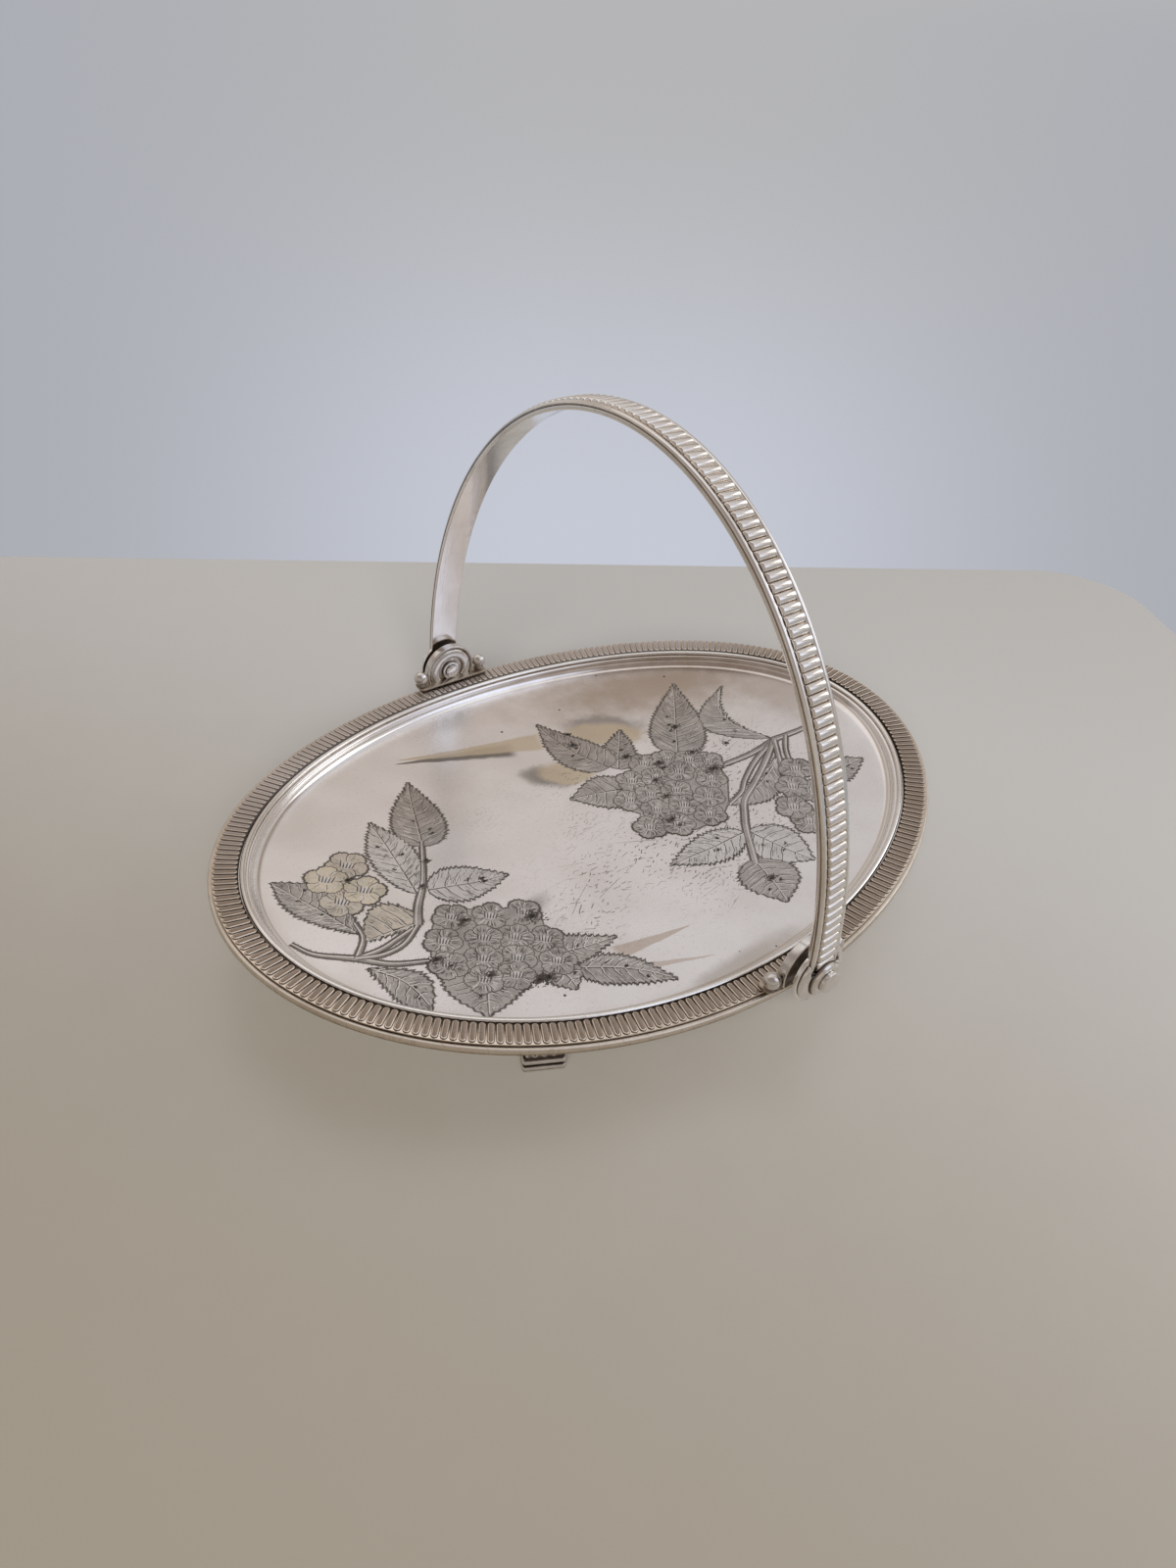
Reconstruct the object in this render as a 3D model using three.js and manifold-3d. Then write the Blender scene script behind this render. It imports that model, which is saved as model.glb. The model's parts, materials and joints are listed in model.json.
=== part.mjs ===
// A silver-plated swing-handle basket in the late Victorian manner: an oval tray on four cast feet,
// with a reeded rim and a reeded arched handle that turns on two riveted hinges.
// Millimetres, +Z up. The origin is on the table under the middle of the tray.
// X runs along the tray, Y along the hinge line. Front is -Y, back is +Y, left is -X, right is +X.
import * as THREE from 'three';
import { mergeVertices } from 'three/addons/utils/BufferGeometryUtils.js';
import Module from 'manifold-3d';

const wasm = await Module();
wasm.setup();

// Clearances
const seam = 0.3; // left between pieces that are soldered to each other
const runningGap = 0.3; // left between pieces that turn against each other

// Tray outline and bend
const rimHalfLength = 120;
const rimHalfWidth = 87.5;
const rimHeight = 20; // crest of the reeded border above the table, at the middle of a long side
const endRise = 7.5; // how much higher the tray's two ends stand

// Tray sheet
const sheetThickness = 1.1;
const wallRollRadius = 0.75; // where the flat flange rolls over into the wall
const wallCoveRadius = 2.6; // the hollow wall between the roll and the base
const ledgeWidth = 0.3; // bare flange between the bead and the wall

// Rim borders, from the outside inwards
const edgeWireWidth = 2;
const edgeWireHeight = 2.1;
const plainEdge = 1.2; // edge wire that shows outside the reeds
const reededBandWidth = 6.8;
const reededBandPlate = 0.4;
const rimReedHeight = 0.45;
const rimReedPitch = 2.2;
const beadWidth = 1.7;
const beadHeight = 0.8;

// Feet
const footAngle = THREE.MathUtils.degToRad(54.4); // place around the oval, from +X
const footInset = 14.6; // from the rim's edge to the middle of the foot
const footWidth = 11.4;
const footDepth = 7.6;
const footPlinth = 1.7;
const footGroove = 0.7;
const footGrooveDepth = 0.45;
const footTorus = 1.6;
const footTorusSetback = 0.2;
const footShaftSetback = 0.8;
const footFluteDepth = 0.45;
const footFlutes = 4;
const footCapHeight = 1.6;
const footStep = 0.35; // height over which the foot's outline changes

// Hinge bracket
const pivotRise = 3.8; // hinge line above the crest of the reeded border
const earRadius = 9.4;
const earOverhang = 1.1; // the ear's outer face stands this far outside the rim
const earThickness = 2.5;
const earRimWidth = 0.8;
const earGrooveWidth = 0.6;
const earGrooveDepth = 0.5;
const earDomeWidth = 3.2;
const earDomeHeight = 0.6;
const earRecessDepth = 0.4;
const padHalfLength = 13.8;
const padInset = 4.3; // from the rim's edge to the inner side of the pad
const padOverhang = 0.4;
const padThickness = 0.7;
const padCorner = 1.6;
const ballRadius = 2.4;
const ballInset = 0.9; // from the rim's edge to the middle of a ball

// Rivets and washers
const rivetRadius = 1.9;
const rivetHeadRadius = 3.2;
const rivetHeadHeight = 1.2;
const rivetTailRadius = 2.2;
const rivetTailHeight = 0.6;
const rivetChamfer = 0.3;
const innerWasherRadius = 3.3;
const innerWasherThickness = 0.6;
const spacerRadius = 5;
const spacerThickness = 1.3;

// Handle
const archHeight = 116; // inner face of the strap above the hinge line
const strapWidth = 10;
const strapThickness = 1.2;
const strapEyeRadius = 9.1; // round end of the strap
const mouldingWidth = 1.5;
const mouldingHeight = 0.85;
const mouldingSetback = 0.2; // plain strap outside each moulding
const handleBandWidth = 5.8;
const handleBandPlate = 0.95;
const handleReedHeight = 0.5;
const handleReedPitch = 2.65;
const ornamentStart = 3.2; // where the moulding and reeds begin, above the hinge line
const rosetteRadius = 7.9; // round plate on the strap's outer face
const rosetteThickness = 1.4;
const coneRadius = 5.3;
const coneTopRadius = 4.5;
const coneHeight = 1.1;
const coneLand = 0.4;

// Fineness of the mesh
const ovalSteps = 72;
const coveSteps = 3;
const baseRings = 3;
const archSteps = 64;
const eyeSteps = 12;
const roundSides = 24;
const earSides = 36;
const ballSides = 12;
const padCornerSteps = 3;
const bandCoarseness = 4; // fine steps of a band's reeds for each step of its underside

// Heights and places that follow from the sizes above
const reedCount = Math.round(ovalLength(plainEdge + reededBandWidth / 2) / rimReedPitch / 2) * 2;
const bandBottom = -rimReedHeight - reededBandPlate;
const flangeTop = bandBottom - seam;
const baseTop = flangeTop - wallRollRadius - wallCoveRadius;
const baseBottom = baseTop - sheetThickness;
const flangeInset = edgeWireWidth + seam;
const bandInner = plainEdge + reededBandWidth;
const beadOuter = bandInner + seam;
const beadInner = beadOuter + beadWidth;
const rollInset = beadInner + ledgeWidth;
const coveInset = rollInset + wallRollRadius + wallCoveRadius; // where the flat base begins

const pivotHeight = rimHeight + pivotRise;
const earOuter = rimHalfWidth + earOverhang;
const earInner = earOuter - earThickness;
const boreRadius = rivetRadius + runningGap;
const earRecess = earInner + earRecessDepth;
const innerWasherOuter = earRecess - seam;
const innerWasherInner = innerWasherOuter - innerWasherThickness;
const rivetInner = innerWasherInner - seam - rivetTailHeight;
const spacerInner = earOuter + runningGap;
const halfSpan = spacerInner + spacerThickness + runningGap; // inner face of the strap at the hinge
const rosetteInner = halfSpan + strapThickness + seam;
const coneInner = rosetteInner + rosetteThickness + seam;
const rivetHeadInner = coneInner + coneHeight + runningGap;
const rivetOuter = rivetHeadInner + rivetHeadHeight;
const padBottom = rimHeight + bend(padHalfLength) + seam;
const padTop = padBottom + padThickness;
const ballAlong = earRadius + seam + ballRadius;
const ballAcross = rimHalfWidth - ballInset;
const ornamentBase = strapThickness + seam;

const arch = new THREE.EllipseCurve(0, 0, halfSpan, archHeight, 0, Math.PI, false, 0);
arch.arcLengthDivisions = 1200;
const archLength = arch.getLength();

// The tray is bent along its length: everything on it rises with the square of the distance from the middle.
function bend(x) {
  return endRise * (x / rimHalfLength) ** 2;
}

function ovalCurve(inset) {
  const curve = new THREE.EllipseCurve(
    0, 0, rimHalfLength - inset, rimHalfWidth - inset, 0, 2 * Math.PI, false, 0);
  curve.arcLengthDivisions = 2000;
  return curve;
}

function ovalLength(inset) {
  return ovalCurve(inset).getLength();
}

// The level direction square to the rim's edge.
function outwardAt(angle) {
  return new THREE.Vector2(rimHalfWidth * Math.cos(angle), rimHalfLength * Math.sin(angle)).normalize();
}

// A point on the tray: angle round the oval, distance in from the edge, height from the rim's crest.
function trayPoint(angle, inset, height) {
  const outward = outwardAt(angle);
  const x = rimHalfLength * Math.cos(angle) - inset * outward.x;
  const y = rimHalfWidth * Math.sin(angle) - inset * outward.y;
  return new THREE.Vector3(x, y, rimHeight + height + bend(x));
}

function evenAngles(count) {
  return Array.from({ length: count }, (_, i) => (2 * Math.PI * i) / count);
}

// Angles of points that lie at even distances along the oval at this inset.
function spacedAngles(inset, count) {
  const curve = ovalCurve(inset);
  return Array.from({ length: count }, (_, i) => 2 * Math.PI * curve.getUtoTmapping(i / count));
}

// Points of an arc, as [inset, height] pairs, with angles in degrees.
function arcPoints(centreInset, centreHeight, radius, fromDegrees, toDegrees, steps) {
  return Array.from({ length: steps + 1 }, (_, i) => {
    const angle = THREE.MathUtils.degToRad(fromDegrees + ((toDegrees - fromDegrees) * i) / steps);
    return [centreInset + radius * Math.cos(angle), centreHeight + radius * Math.sin(angle)];
  });
}

// Turns every triangle over where the surface faces inwards.
function facingOut(geometry) {
  const position = geometry.attributes.position;
  const index = geometry.index.array;
  const corner = [new THREE.Vector3(), new THREE.Vector3(), new THREE.Vector3()];
  let volume = 0;
  for (let i = 0; i < index.length; i += 3) {
    corner.forEach((point, k) => point.fromBufferAttribute(position, index[i + k]));
    volume += corner[0].dot(corner[1].cross(corner[2]));
  }
  if (volume < 0) {
    for (let i = 0; i < index.length; i += 3) {
      [index[i], index[i + 1]] = [index[i + 1], index[i]];
    }
  }
  return geometry;
}

function geometryFrom(points, triangles) {
  const geometry = new THREE.BufferGeometry();
  geometry.setFromPoints(points);
  geometry.setIndex(triangles.flat());
  return facingOut(geometry);
}

// Joins rings of points into a closed skin. A loop joins its last ring to its first;
// an open row is closed by a fan to a point at each end.
function skin(rings, ends) {
  const size = rings[0].length;
  const points = rings.flat();
  const triangles = [];
  const last = ends ? rings.length - 1 : rings.length;
  for (let r = 0; r < last; r += 1) {
    const here = r * size;
    const next = ((r + 1) % rings.length) * size;
    for (let k = 0; k < size; k += 1) {
      const after = (k + 1) % size;
      triangles.push([here + k, next + k, next + after], [here + k, next + after, here + after]);
    }
  }
  if (ends) {
    const first = points.push(ends[0]) - 1;
    const final = points.push(ends[1]) - 1;
    const lastRing = (rings.length - 1) * size;
    for (let k = 0; k < size; k += 1) {
      const after = (k + 1) % size;
      triangles.push([first, k, after], [final, lastRing + after, lastRing + k]);
    }
  }
  return geometryFrom(points, triangles);
}

function middleOf(ring) {
  const sum = ring.reduce((total, point) => total.add(point), new THREE.Vector3());
  return sum.divideScalar(ring.length);
}

function openSkin(rings) {
  return skin(rings, [middleOf(rings[0]), middleOf(rings[rings.length - 1])]);
}

// A turned piece round the hinge line: outline points are [radius, distance from the tray's middle].
function turned(outline, sides) {
  const profile = outline.map(([radius, y]) => new THREE.Vector2(radius, y));
  const lathe = new THREE.LatheGeometry(profile, sides);
  lathe.deleteAttribute('normal');
  lathe.deleteAttribute('uv');
  return facingOut(mergeVertices(lathe));
}

function turnedRing(outline, sides) {
  return turned([...outline, outline[0]], sides);
}

function toSolid(geometry) {
  const bare = geometry.clone();
  bare.deleteAttribute('normal');
  bare.deleteAttribute('uv');
  const merged = facingOut(mergeVertices(bare));
  const vertProperties = Float32Array.from(merged.attributes.position.array);
  const triVerts = Uint32Array.from(merged.index.array);
  return new wasm.Manifold(new wasm.Mesh({ numProp: 3, vertProperties, triVerts }));
}

function toGeometry(solid) {
  const mesh = solid.getMesh();
  const geometry = new THREE.BufferGeometry();
  geometry.setAttribute('position', new THREE.BufferAttribute(Float32Array.from(mesh.vertProperties), 3));
  geometry.setIndex(Array.from(mesh.triVerts));
  return geometry;
}

function block(low, high) {
  const size = new THREE.Vector3().subVectors(high, low);
  const geometry = new THREE.BoxGeometry(size.x, size.y, size.z);
  geometry.translate((low.x + high.x) / 2, (low.y + high.y) / 2, (low.z + high.z) / 2);
  return geometry;
}

// Tray

function trayPan() {
  const coveHeight = flangeTop - wallRollRadius;
  const outerCove = wallCoveRadius + sheetThickness;
  const flangeBottom = flangeTop - sheetThickness;
  const coveStart = 180 + THREE.MathUtils.radToDeg(Math.asin((coveHeight - flangeBottom) / outerCove));
  const base = Array.from({ length: baseRings - 1 }, (_, i) => (i + 1) / baseRings);
  const upper = [
    ...arcPoints(coveInset, coveHeight, wallCoveRadius, 270, 180, coveSteps),
    ...arcPoints(rollInset, coveHeight, wallRollRadius, 45, 90, 1),
    [flangeInset, flangeTop],
  ];
  const lower = [
    [flangeInset, flangeBottom],
    ...arcPoints(coveInset, coveHeight, outerCove, coveStart, 270, coveSteps),
  ];
  const angles = evenAngles(ovalSteps);
  const ringAt = ([inset, height]) => angles.map((angle) => trayPoint(angle, inset, height));
  const baseRing = (share, height) => ringAt([coveInset, height]).map(({ x, y }) => (
    new THREE.Vector3(x * share, y * share, rimHeight + height + bend(x * share))));
  const rings = [
    ...base.map((share) => baseRing(share, baseTop)),
    ...upper.map(ringAt),
    ...lower.map(ringAt),
    ...base.toReversed().map((share) => baseRing(share, baseBottom)),
  ];
  const poles = [baseTop, baseBottom].map((height) => new THREE.Vector3(0, 0, rimHeight + height));
  return skin(rings, poles);
}

// A border of one section all the way round the tray.
function rimBorder(section) {
  return skin(evenAngles(ovalSteps).map((angle) => (
    section.map(([inset, height]) => trayPoint(angle, inset, height)))));
}

function rimEdgeWire() {
  const top = flangeTop;
  const bottom = top - edgeWireHeight;
  const shoulder = edgeWireHeight / 4;
  const side = edgeWireWidth / 4;
  return rimBorder([
    [side, top],
    [edgeWireWidth - side, top],
    [edgeWireWidth, top - shoulder],
    [edgeWireWidth, bottom + shoulder],
    [edgeWireWidth - side, bottom],
    [side, bottom],
    [0, bottom + shoulder],
    [0, top - shoulder],
  ]);
}

function rimBeadWire() {
  const base = flangeTop + seam;
  const shoulder = beadWidth / 5;
  return rimBorder([
    [beadOuter, base],
    [beadInner, base],
    [beadInner - shoulder, base + beadHeight * 0.75],
    [(beadInner + beadOuter) / 2, base + beadHeight],
    [beadOuter + shoulder, base + beadHeight * 0.75],
  ]);
}

// Triangles between a fine row of points and a coarse one, both closed loops.
function zipRows(fineStart, coarseStart, coarseCount) {
  const fineCount = coarseCount * bandCoarseness;
  const half = bandCoarseness / 2;
  const triangles = [];
  for (let j = 0; j < coarseCount; j += 1) {
    const near = coarseStart + j;
    const far = coarseStart + ((j + 1) % coarseCount);
    for (let k = 0; k < bandCoarseness; k += 1) {
      const fine = fineStart + j * bandCoarseness + k;
      const after = fineStart + ((j * bandCoarseness + k + 1) % fineCount);
      triangles.push([k < half ? near : far, fine, after]);
    }
    triangles.push([near, fineStart + j * bandCoarseness + half, far]);
  }
  return triangles;
}

// The applied border: a flat plate whose top runs up and down over radial reeds.
function rimReededBand() {
  const fineCount = 2 * reedCount;
  const coarseCount = fineCount / bandCoarseness;
  const angles = spacedAngles(plainEdge + reededBandWidth / 2, fineCount);
  const coarse = angles.filter((_, i) => i % bandCoarseness === 0);
  const topHeight = (i) => (i % 2 === 0 ? -rimReedHeight : 0);
  const points = [
    ...angles.map((angle, i) => trayPoint(angle, plainEdge, topHeight(i))),
    ...angles.map((angle, i) => trayPoint(angle, bandInner, topHeight(i))),
    ...coarse.map((angle) => trayPoint(angle, plainEdge, bandBottom)),
    ...coarse.map((angle) => trayPoint(angle, bandInner, bandBottom)),
  ];
  const innerTop = fineCount;
  const outerBottom = 2 * fineCount;
  const innerBottom = outerBottom + coarseCount;
  const triangles = [];
  for (let i = 0; i < fineCount; i += 1) {
    const after = (i + 1) % fineCount;
    triangles.push([i, after, innerTop + after], [i, innerTop + after, innerTop + i]);
  }
  for (let j = 0; j < coarseCount; j += 1) {
    const after = (j + 1) % coarseCount;
    triangles.push([outerBottom + j, innerBottom + after, outerBottom + after]);
    triangles.push([outerBottom + j, innerBottom + j, innerBottom + after]);
  }
  const outerWall = zipRows(0, outerBottom, coarseCount).map(([a, b, c]) => [a, c, b]);
  const innerWall = zipRows(innerTop, innerBottom, coarseCount);
  return geometryFrom(points, [...triangles, ...outerWall, ...innerWall]);
}

// Feet

// Outline of a foot: flat ends, and long faces with half-round flutes of the given depth.
function footOutline(width, depth, flute) {
  const steps = 2 * footFlutes;
  const face = Array.from({ length: steps + 1 }, (_, i) => {
    const hollow = i % 2 === 0 ? 0 : flute;
    return [(i / steps - 0.5) * width, depth / 2 - hollow];
  });
  return [...face, ...face.map(([x, y]) => [-x, -y])];
}

function castFoot(alongSign, acrossSign) {
  const seat = trayPoint(footAngle, footInset, 0);
  const outward = outwardAt(footAngle);
  const facing = Math.atan2(acrossSign * outward.y, alongSign * outward.x) - Math.PI / 2;
  const place = new THREE.Matrix4().makeRotationZ(facing);
  place.setPosition(alongSign * seat.x, acrossSign * seat.y, 0);
  const underside = rimHeight + baseBottom - seam;
  const grooveTop = footPlinth + footGroove;
  const torusTop = grooveTop + footTorus;
  const narrow = (setback) => [footWidth - 2 * setback, footDepth - 2 * setback];
  const plinth = narrow(0);
  const groove = narrow(footGrooveDepth);
  const torus = narrow(footTorusSetback);
  const shaft = narrow(footShaftSetback);
  const level = (height, [width, depth], flute = 0) => ({ height, width, depth, flute });
  const topLevel = (below, size, flute = 0) => ({ ...level(-below, size, flute), fromTop: true });
  const levels = [
    level(0, plinth),
    level(footPlinth - footStep / 2, plinth),
    level(footPlinth, groove),
    level(grooveTop, groove),
    level(grooveTop + footStep / 2, torus),
    level(torusTop, torus),
    level(torusTop + footStep, shaft, footFluteDepth),
    topLevel(footCapHeight + footStep, shaft, footFluteDepth),
    topLevel(footCapHeight, torus),
    topLevel(0, torus),
  ];
  const rings = levels.map(({ height, width, depth, flute, fromTop }) =>
    footOutline(width, depth, flute).map(([across, out]) => {
      const point = new THREE.Vector3(across, out, 0).applyMatrix4(place);
      point.z = fromTop ? underside + bend(point.x) + height : height;
      return point;
    }));
  return openSkin(rings);
}

// Hinge brackets, made for the back and turned round for the front

function earSolid() {
  const rimInner = earRadius - earRimWidth;
  const grooveInner = rimInner - earGrooveWidth;
  const domeInner = grooveInner - earDomeWidth;
  const domeTop = earInner - earDomeHeight;
  const outline = [
    [boreRadius, earRecess],
    [domeInner, earRecess],
    [domeInner, earInner],
    [domeInner + earDomeWidth * 0.3, domeTop],
    [domeInner + earDomeWidth * 0.7, domeTop],
    [grooveInner, earInner],
    [(grooveInner + rimInner) / 2, earInner + earGrooveDepth],
    [rimInner, earInner],
    [earRadius, earInner],
    [earRadius, earOuter],
    [boreRadius, earOuter],
  ];
  const ear = turnedRing(outline, earSides);
  ear.translate(0, 0, pivotHeight);
  return toSolid(ear);
}

function padGeometry() {
  const inner = rimHalfWidth - padInset;
  const outer = rimHalfWidth + padOverhang;
  const straight = padHalfLength - padCorner;
  const shape = new THREE.Shape();
  shape.moveTo(-straight, inner);
  shape.lineTo(straight, inner);
  shape.absarc(straight, inner + padCorner, padCorner, -Math.PI / 2, 0, false);
  shape.lineTo(padHalfLength, outer - padCorner);
  shape.absarc(straight, outer - padCorner, padCorner, 0, Math.PI / 2, false);
  shape.lineTo(-straight, outer);
  shape.absarc(-straight, outer - padCorner, padCorner, Math.PI / 2, Math.PI, false);
  shape.lineTo(-padHalfLength, inner + padCorner);
  shape.absarc(-straight, inner + padCorner, padCorner, Math.PI, 1.5 * Math.PI, false);
  const settings = { depth: padThickness, bevelEnabled: false, curveSegments: padCornerSteps };
  const pad = new THREE.ExtrudeGeometry(shape, settings);
  pad.translate(0, 0, padBottom);
  return pad;
}

// The hollow in the pad that the inner washer and the rivet's tail stand in.
function washerClearance() {
  const radius = innerWasherRadius + seam;
  const inner = rivetInner - seam;
  const clearance = turned([[0, inner], [radius, inner], [radius, earRecess], [0, earRecess]], roundSides);
  clearance.translate(0, 0, pivotHeight);
  return toSolid(clearance);
}

function hingeBracket() {
  const reach = 2 * earRadius;
  const below = block(
    new THREE.Vector3(-reach, earInner - reach, padBottom - 2 * reach),
    new THREE.Vector3(reach, earOuter + reach, padBottom));
  const pad = toSolid(padGeometry()).subtract(washerClearance());
  return toGeometry(pad.add(earSolid().subtract(toSolid(below))));
}

function bracketBall() {
  const ball = new THREE.SphereGeometry(ballRadius, ballSides, Math.round((ballSides * 2) / 3));
  ball.deleteAttribute('normal');
  ball.deleteAttribute('uv');
  return facingOut(mergeVertices(ball));
}

function rivet() {
  const tailOuter = rivetInner + rivetTailHeight;
  return turned([
    [0, rivetInner],
    [rivetTailRadius - rivetChamfer, rivetInner],
    [rivetTailRadius, rivetInner + rivetChamfer],
    [rivetTailRadius, tailOuter],
    [rivetRadius, tailOuter],
    [rivetRadius, rivetHeadInner],
    [rivetHeadRadius, rivetHeadInner],
    [rivetHeadRadius, rivetOuter - rivetChamfer],
    [rivetHeadRadius - rivetChamfer, rivetOuter],
    [0, rivetOuter],
  ], roundSides);
}

function washer(radius, inner, thickness) {
  const outer = inner + thickness;
  return turnedRing([[boreRadius, inner], [radius, inner], [radius, outer], [boreRadius, outer]], roundSides);
}

// Handle, in a frame with the hinge line at its origin

// A point of the handle: distance along the inner face from the hinge line at the back,
// place across the strap, and height over the inner face.
function handlePoint(along, across, over) {
  if (along < 0) {
    return new THREE.Vector3(across, halfSpan + over, along);
  }
  if (along > archLength) {
    return new THREE.Vector3(across, -halfSpan - over, archLength - along);
  }
  const angle = Math.PI * arch.getUtoTmapping(along / archLength);
  const normal = new THREE.Vector2(archHeight * Math.cos(angle), halfSpan * Math.sin(angle)).normalize();
  const y = halfSpan * Math.cos(angle) + over * normal.x;
  const z = archHeight * Math.sin(angle) + over * normal.y;
  return new THREE.Vector3(across, y, z);
}

function handleStrap() {
  const half = strapWidth / 2;
  const firstTurn = Math.PI / eyeSteps / 1.5;
  const lastTurn = Math.PI - Math.asin(half / strapEyeRadius);
  const eye = Array.from({ length: eyeSteps + 1 }, (_, i) => {
    const turn = firstTurn + ((lastTurn - firstTurn) * i) / eyeSteps;
    return { along: -strapEyeRadius * Math.cos(turn), reach: strapEyeRadius * Math.sin(turn) };
  });
  const start = eye[eyeSteps].along;
  const run = archLength - 2 * start;
  const straight = Array.from({ length: archSteps - 1 }, (_, i) => (
    { along: start + (run * (i + 1)) / archSteps, reach: half }));
  const farEye = eye.toReversed().map(({ along, reach }) => ({ along: archLength - along, reach }));
  const rings = [...eye, ...straight, ...farEye].map(({ along, reach }) => [
    handlePoint(along, -reach, 0),
    handlePoint(along, reach, 0),
    handlePoint(along, reach, strapThickness),
    handlePoint(along, -reach, strapThickness),
  ]);
  const bore = turned([
    [0, -2 * halfSpan],
    [boreRadius, -2 * halfSpan],
    [boreRadius, 2 * halfSpan],
    [0, 2 * halfSpan],
  ], roundSides);
  return toGeometry(toSolid(openSkin(rings)).subtract(toSolid(bore)));
}

// A strip of one section along the outer face of the strap, between the two hinges.
function handleStrip(section, steps) {
  const run = archLength - 2 * ornamentStart;
  return openSkin(Array.from({ length: steps + 1 }, (_, i) => {
    const along = ornamentStart + (run * i) / steps;
    return section(i).map(([across, over]) => handlePoint(along, across, over));
  }));
}

function handleMoulding(side) {
  const half = mouldingWidth / 2;
  const middle = side * (strapWidth / 2 - mouldingSetback - half);
  const top = ornamentBase + mouldingHeight;
  const shoulder = ornamentBase + mouldingHeight * 0.6;
  return handleStrip(() => [
    [middle - half, ornamentBase],
    [middle + half, ornamentBase],
    [middle + half * 0.8, shoulder],
    [middle, top],
    [middle - half * 0.8, shoulder],
  ], archSteps);
}

function handleReededBand() {
  const run = archLength - 2 * ornamentStart;
  const reeds = Math.round(run / handleReedPitch);
  const half = handleBandWidth / 2;
  const valley = ornamentBase + handleBandPlate;
  return handleStrip((i) => {
    const top = i % 2 === 0 ? valley : valley + handleReedHeight;
    return [[-half, ornamentBase], [half, ornamentBase], [half, top], [-half, top]];
  }, 2 * reeds);
}

// The round plate is cut away where the reeds and mouldings come down to the hinge.
function hingeRosette() {
  const plate = toSolid(washer(rosetteRadius, rosetteInner, rosetteThickness));
  const half = strapWidth / 2 + seam;
  const slot = toSolid(block(
    new THREE.Vector3(-half, rosetteInner - rosetteThickness, ornamentStart - seam),
    new THREE.Vector3(half, rosetteInner + 2 * rosetteThickness, 2 * rosetteRadius)));
  return toGeometry(plate.subtract(slot));
}

function rivetCone() {
  const outer = coneInner + coneHeight;
  return turnedRing([
    [boreRadius, coneInner],
    [coneRadius, coneInner],
    [coneRadius, coneInner + coneLand],
    [coneTopRadius, outer],
    [boreRadius, outer],
  ], roundSides);
}

// Assembly

function silver(colour, roughness) {
  return new THREE.MeshStandardMaterial({ color: colour, roughness, metalness: 1 });
}

const polished = () => silver(0xd6d2cb, 0.16);
const reeded = () => silver(0xb9b1a6, 0.3);
const cast = () => silver(0xa9a39b, 0.28);
const riveted = () => silver(0xcbc5ba, 0.24);

function named(name, geometry, material) {
  const mesh = new THREE.Mesh(geometry, material);
  mesh.name = name;
  return mesh;
}

const basket = new THREE.Group();
const handle = new THREE.Group();
handle.position.z = pivotHeight;
basket.add(handle);

basket.add(named('tray_pan', trayPan(), polished()));
basket.add(named('rim_edge_wire', rimEdgeWire(), polished()));
basket.add(named('rim_reeded_band', rimReededBand(), reeded()));
basket.add(named('rim_bead_wire', rimBeadWire(), polished()));

for (const [across, acrossSign] of [['front', -1], ['back', 1]]) {
  for (const [along, alongSign] of [['left', -1], ['right', 1]]) {
    basket.add(named(`foot_${across}_${along}`, castFoot(alongSign, acrossSign), cast()));
    const ball = named(`bracket_ball_${across}_${along}`, bracketBall(), cast());
    ball.position.set(alongSign * ballAlong, acrossSign * ballAcross, padTop + seam + ballRadius);
    basket.add(ball);
  }
}

// The hinge pieces are made for the back. The front's are the same, turned half round.
for (const [place, turn] of [['front', Math.PI], ['back', 0]]) {
  const fixedSide = new THREE.Group();
  fixedSide.rotation.z = turn;
  fixedSide.add(named(`hinge_bracket_${place}`, hingeBracket(), cast()));
  const onHingeLine = new THREE.Group();
  onHingeLine.position.z = pivotHeight;
  onHingeLine.add(named(`hinge_rivet_${place}`, rivet(), riveted()));
  const inner = washer(innerWasherRadius, innerWasherInner, innerWasherThickness);
  onHingeLine.add(named(`inner_washer_${place}`, inner, riveted()));
  const spacer = washer(spacerRadius, spacerInner, spacerThickness);
  onHingeLine.add(named(`hinge_spacer_${place}`, spacer, riveted()));
  fixedSide.add(onHingeLine);
  basket.add(fixedSide);

  const movingSide = new THREE.Group();
  movingSide.rotation.z = turn;
  movingSide.add(named(`hinge_rosette_${place}`, hingeRosette(), polished()));
  movingSide.add(named(`rivet_cone_${place}`, rivetCone(), riveted()));
  handle.add(movingSide);
}

handle.add(named('handle_strap', handleStrap(), polished()));
handle.add(named('handle_moulding_left', handleMoulding(-1), polished()));
handle.add(named('handle_moulding_right', handleMoulding(1), polished()));
handle.add(named('handle_reeded_band', handleReededBand(), reeded()));

export default basket;
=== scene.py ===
"""The looks of a silver-plated swing-handle basket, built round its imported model.

Metres, in the model's own frame: +Z up from the table, X along the tray, Y along the hinge line.
Pieces are shaped in numpy, and each one replaces the model's node of the same place and size.
"""

import json
import math
import random
from contextlib import contextmanager
from itertools import product

import bmesh
import bpy
import numpy as np
from mathutils import Matrix, Vector

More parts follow.
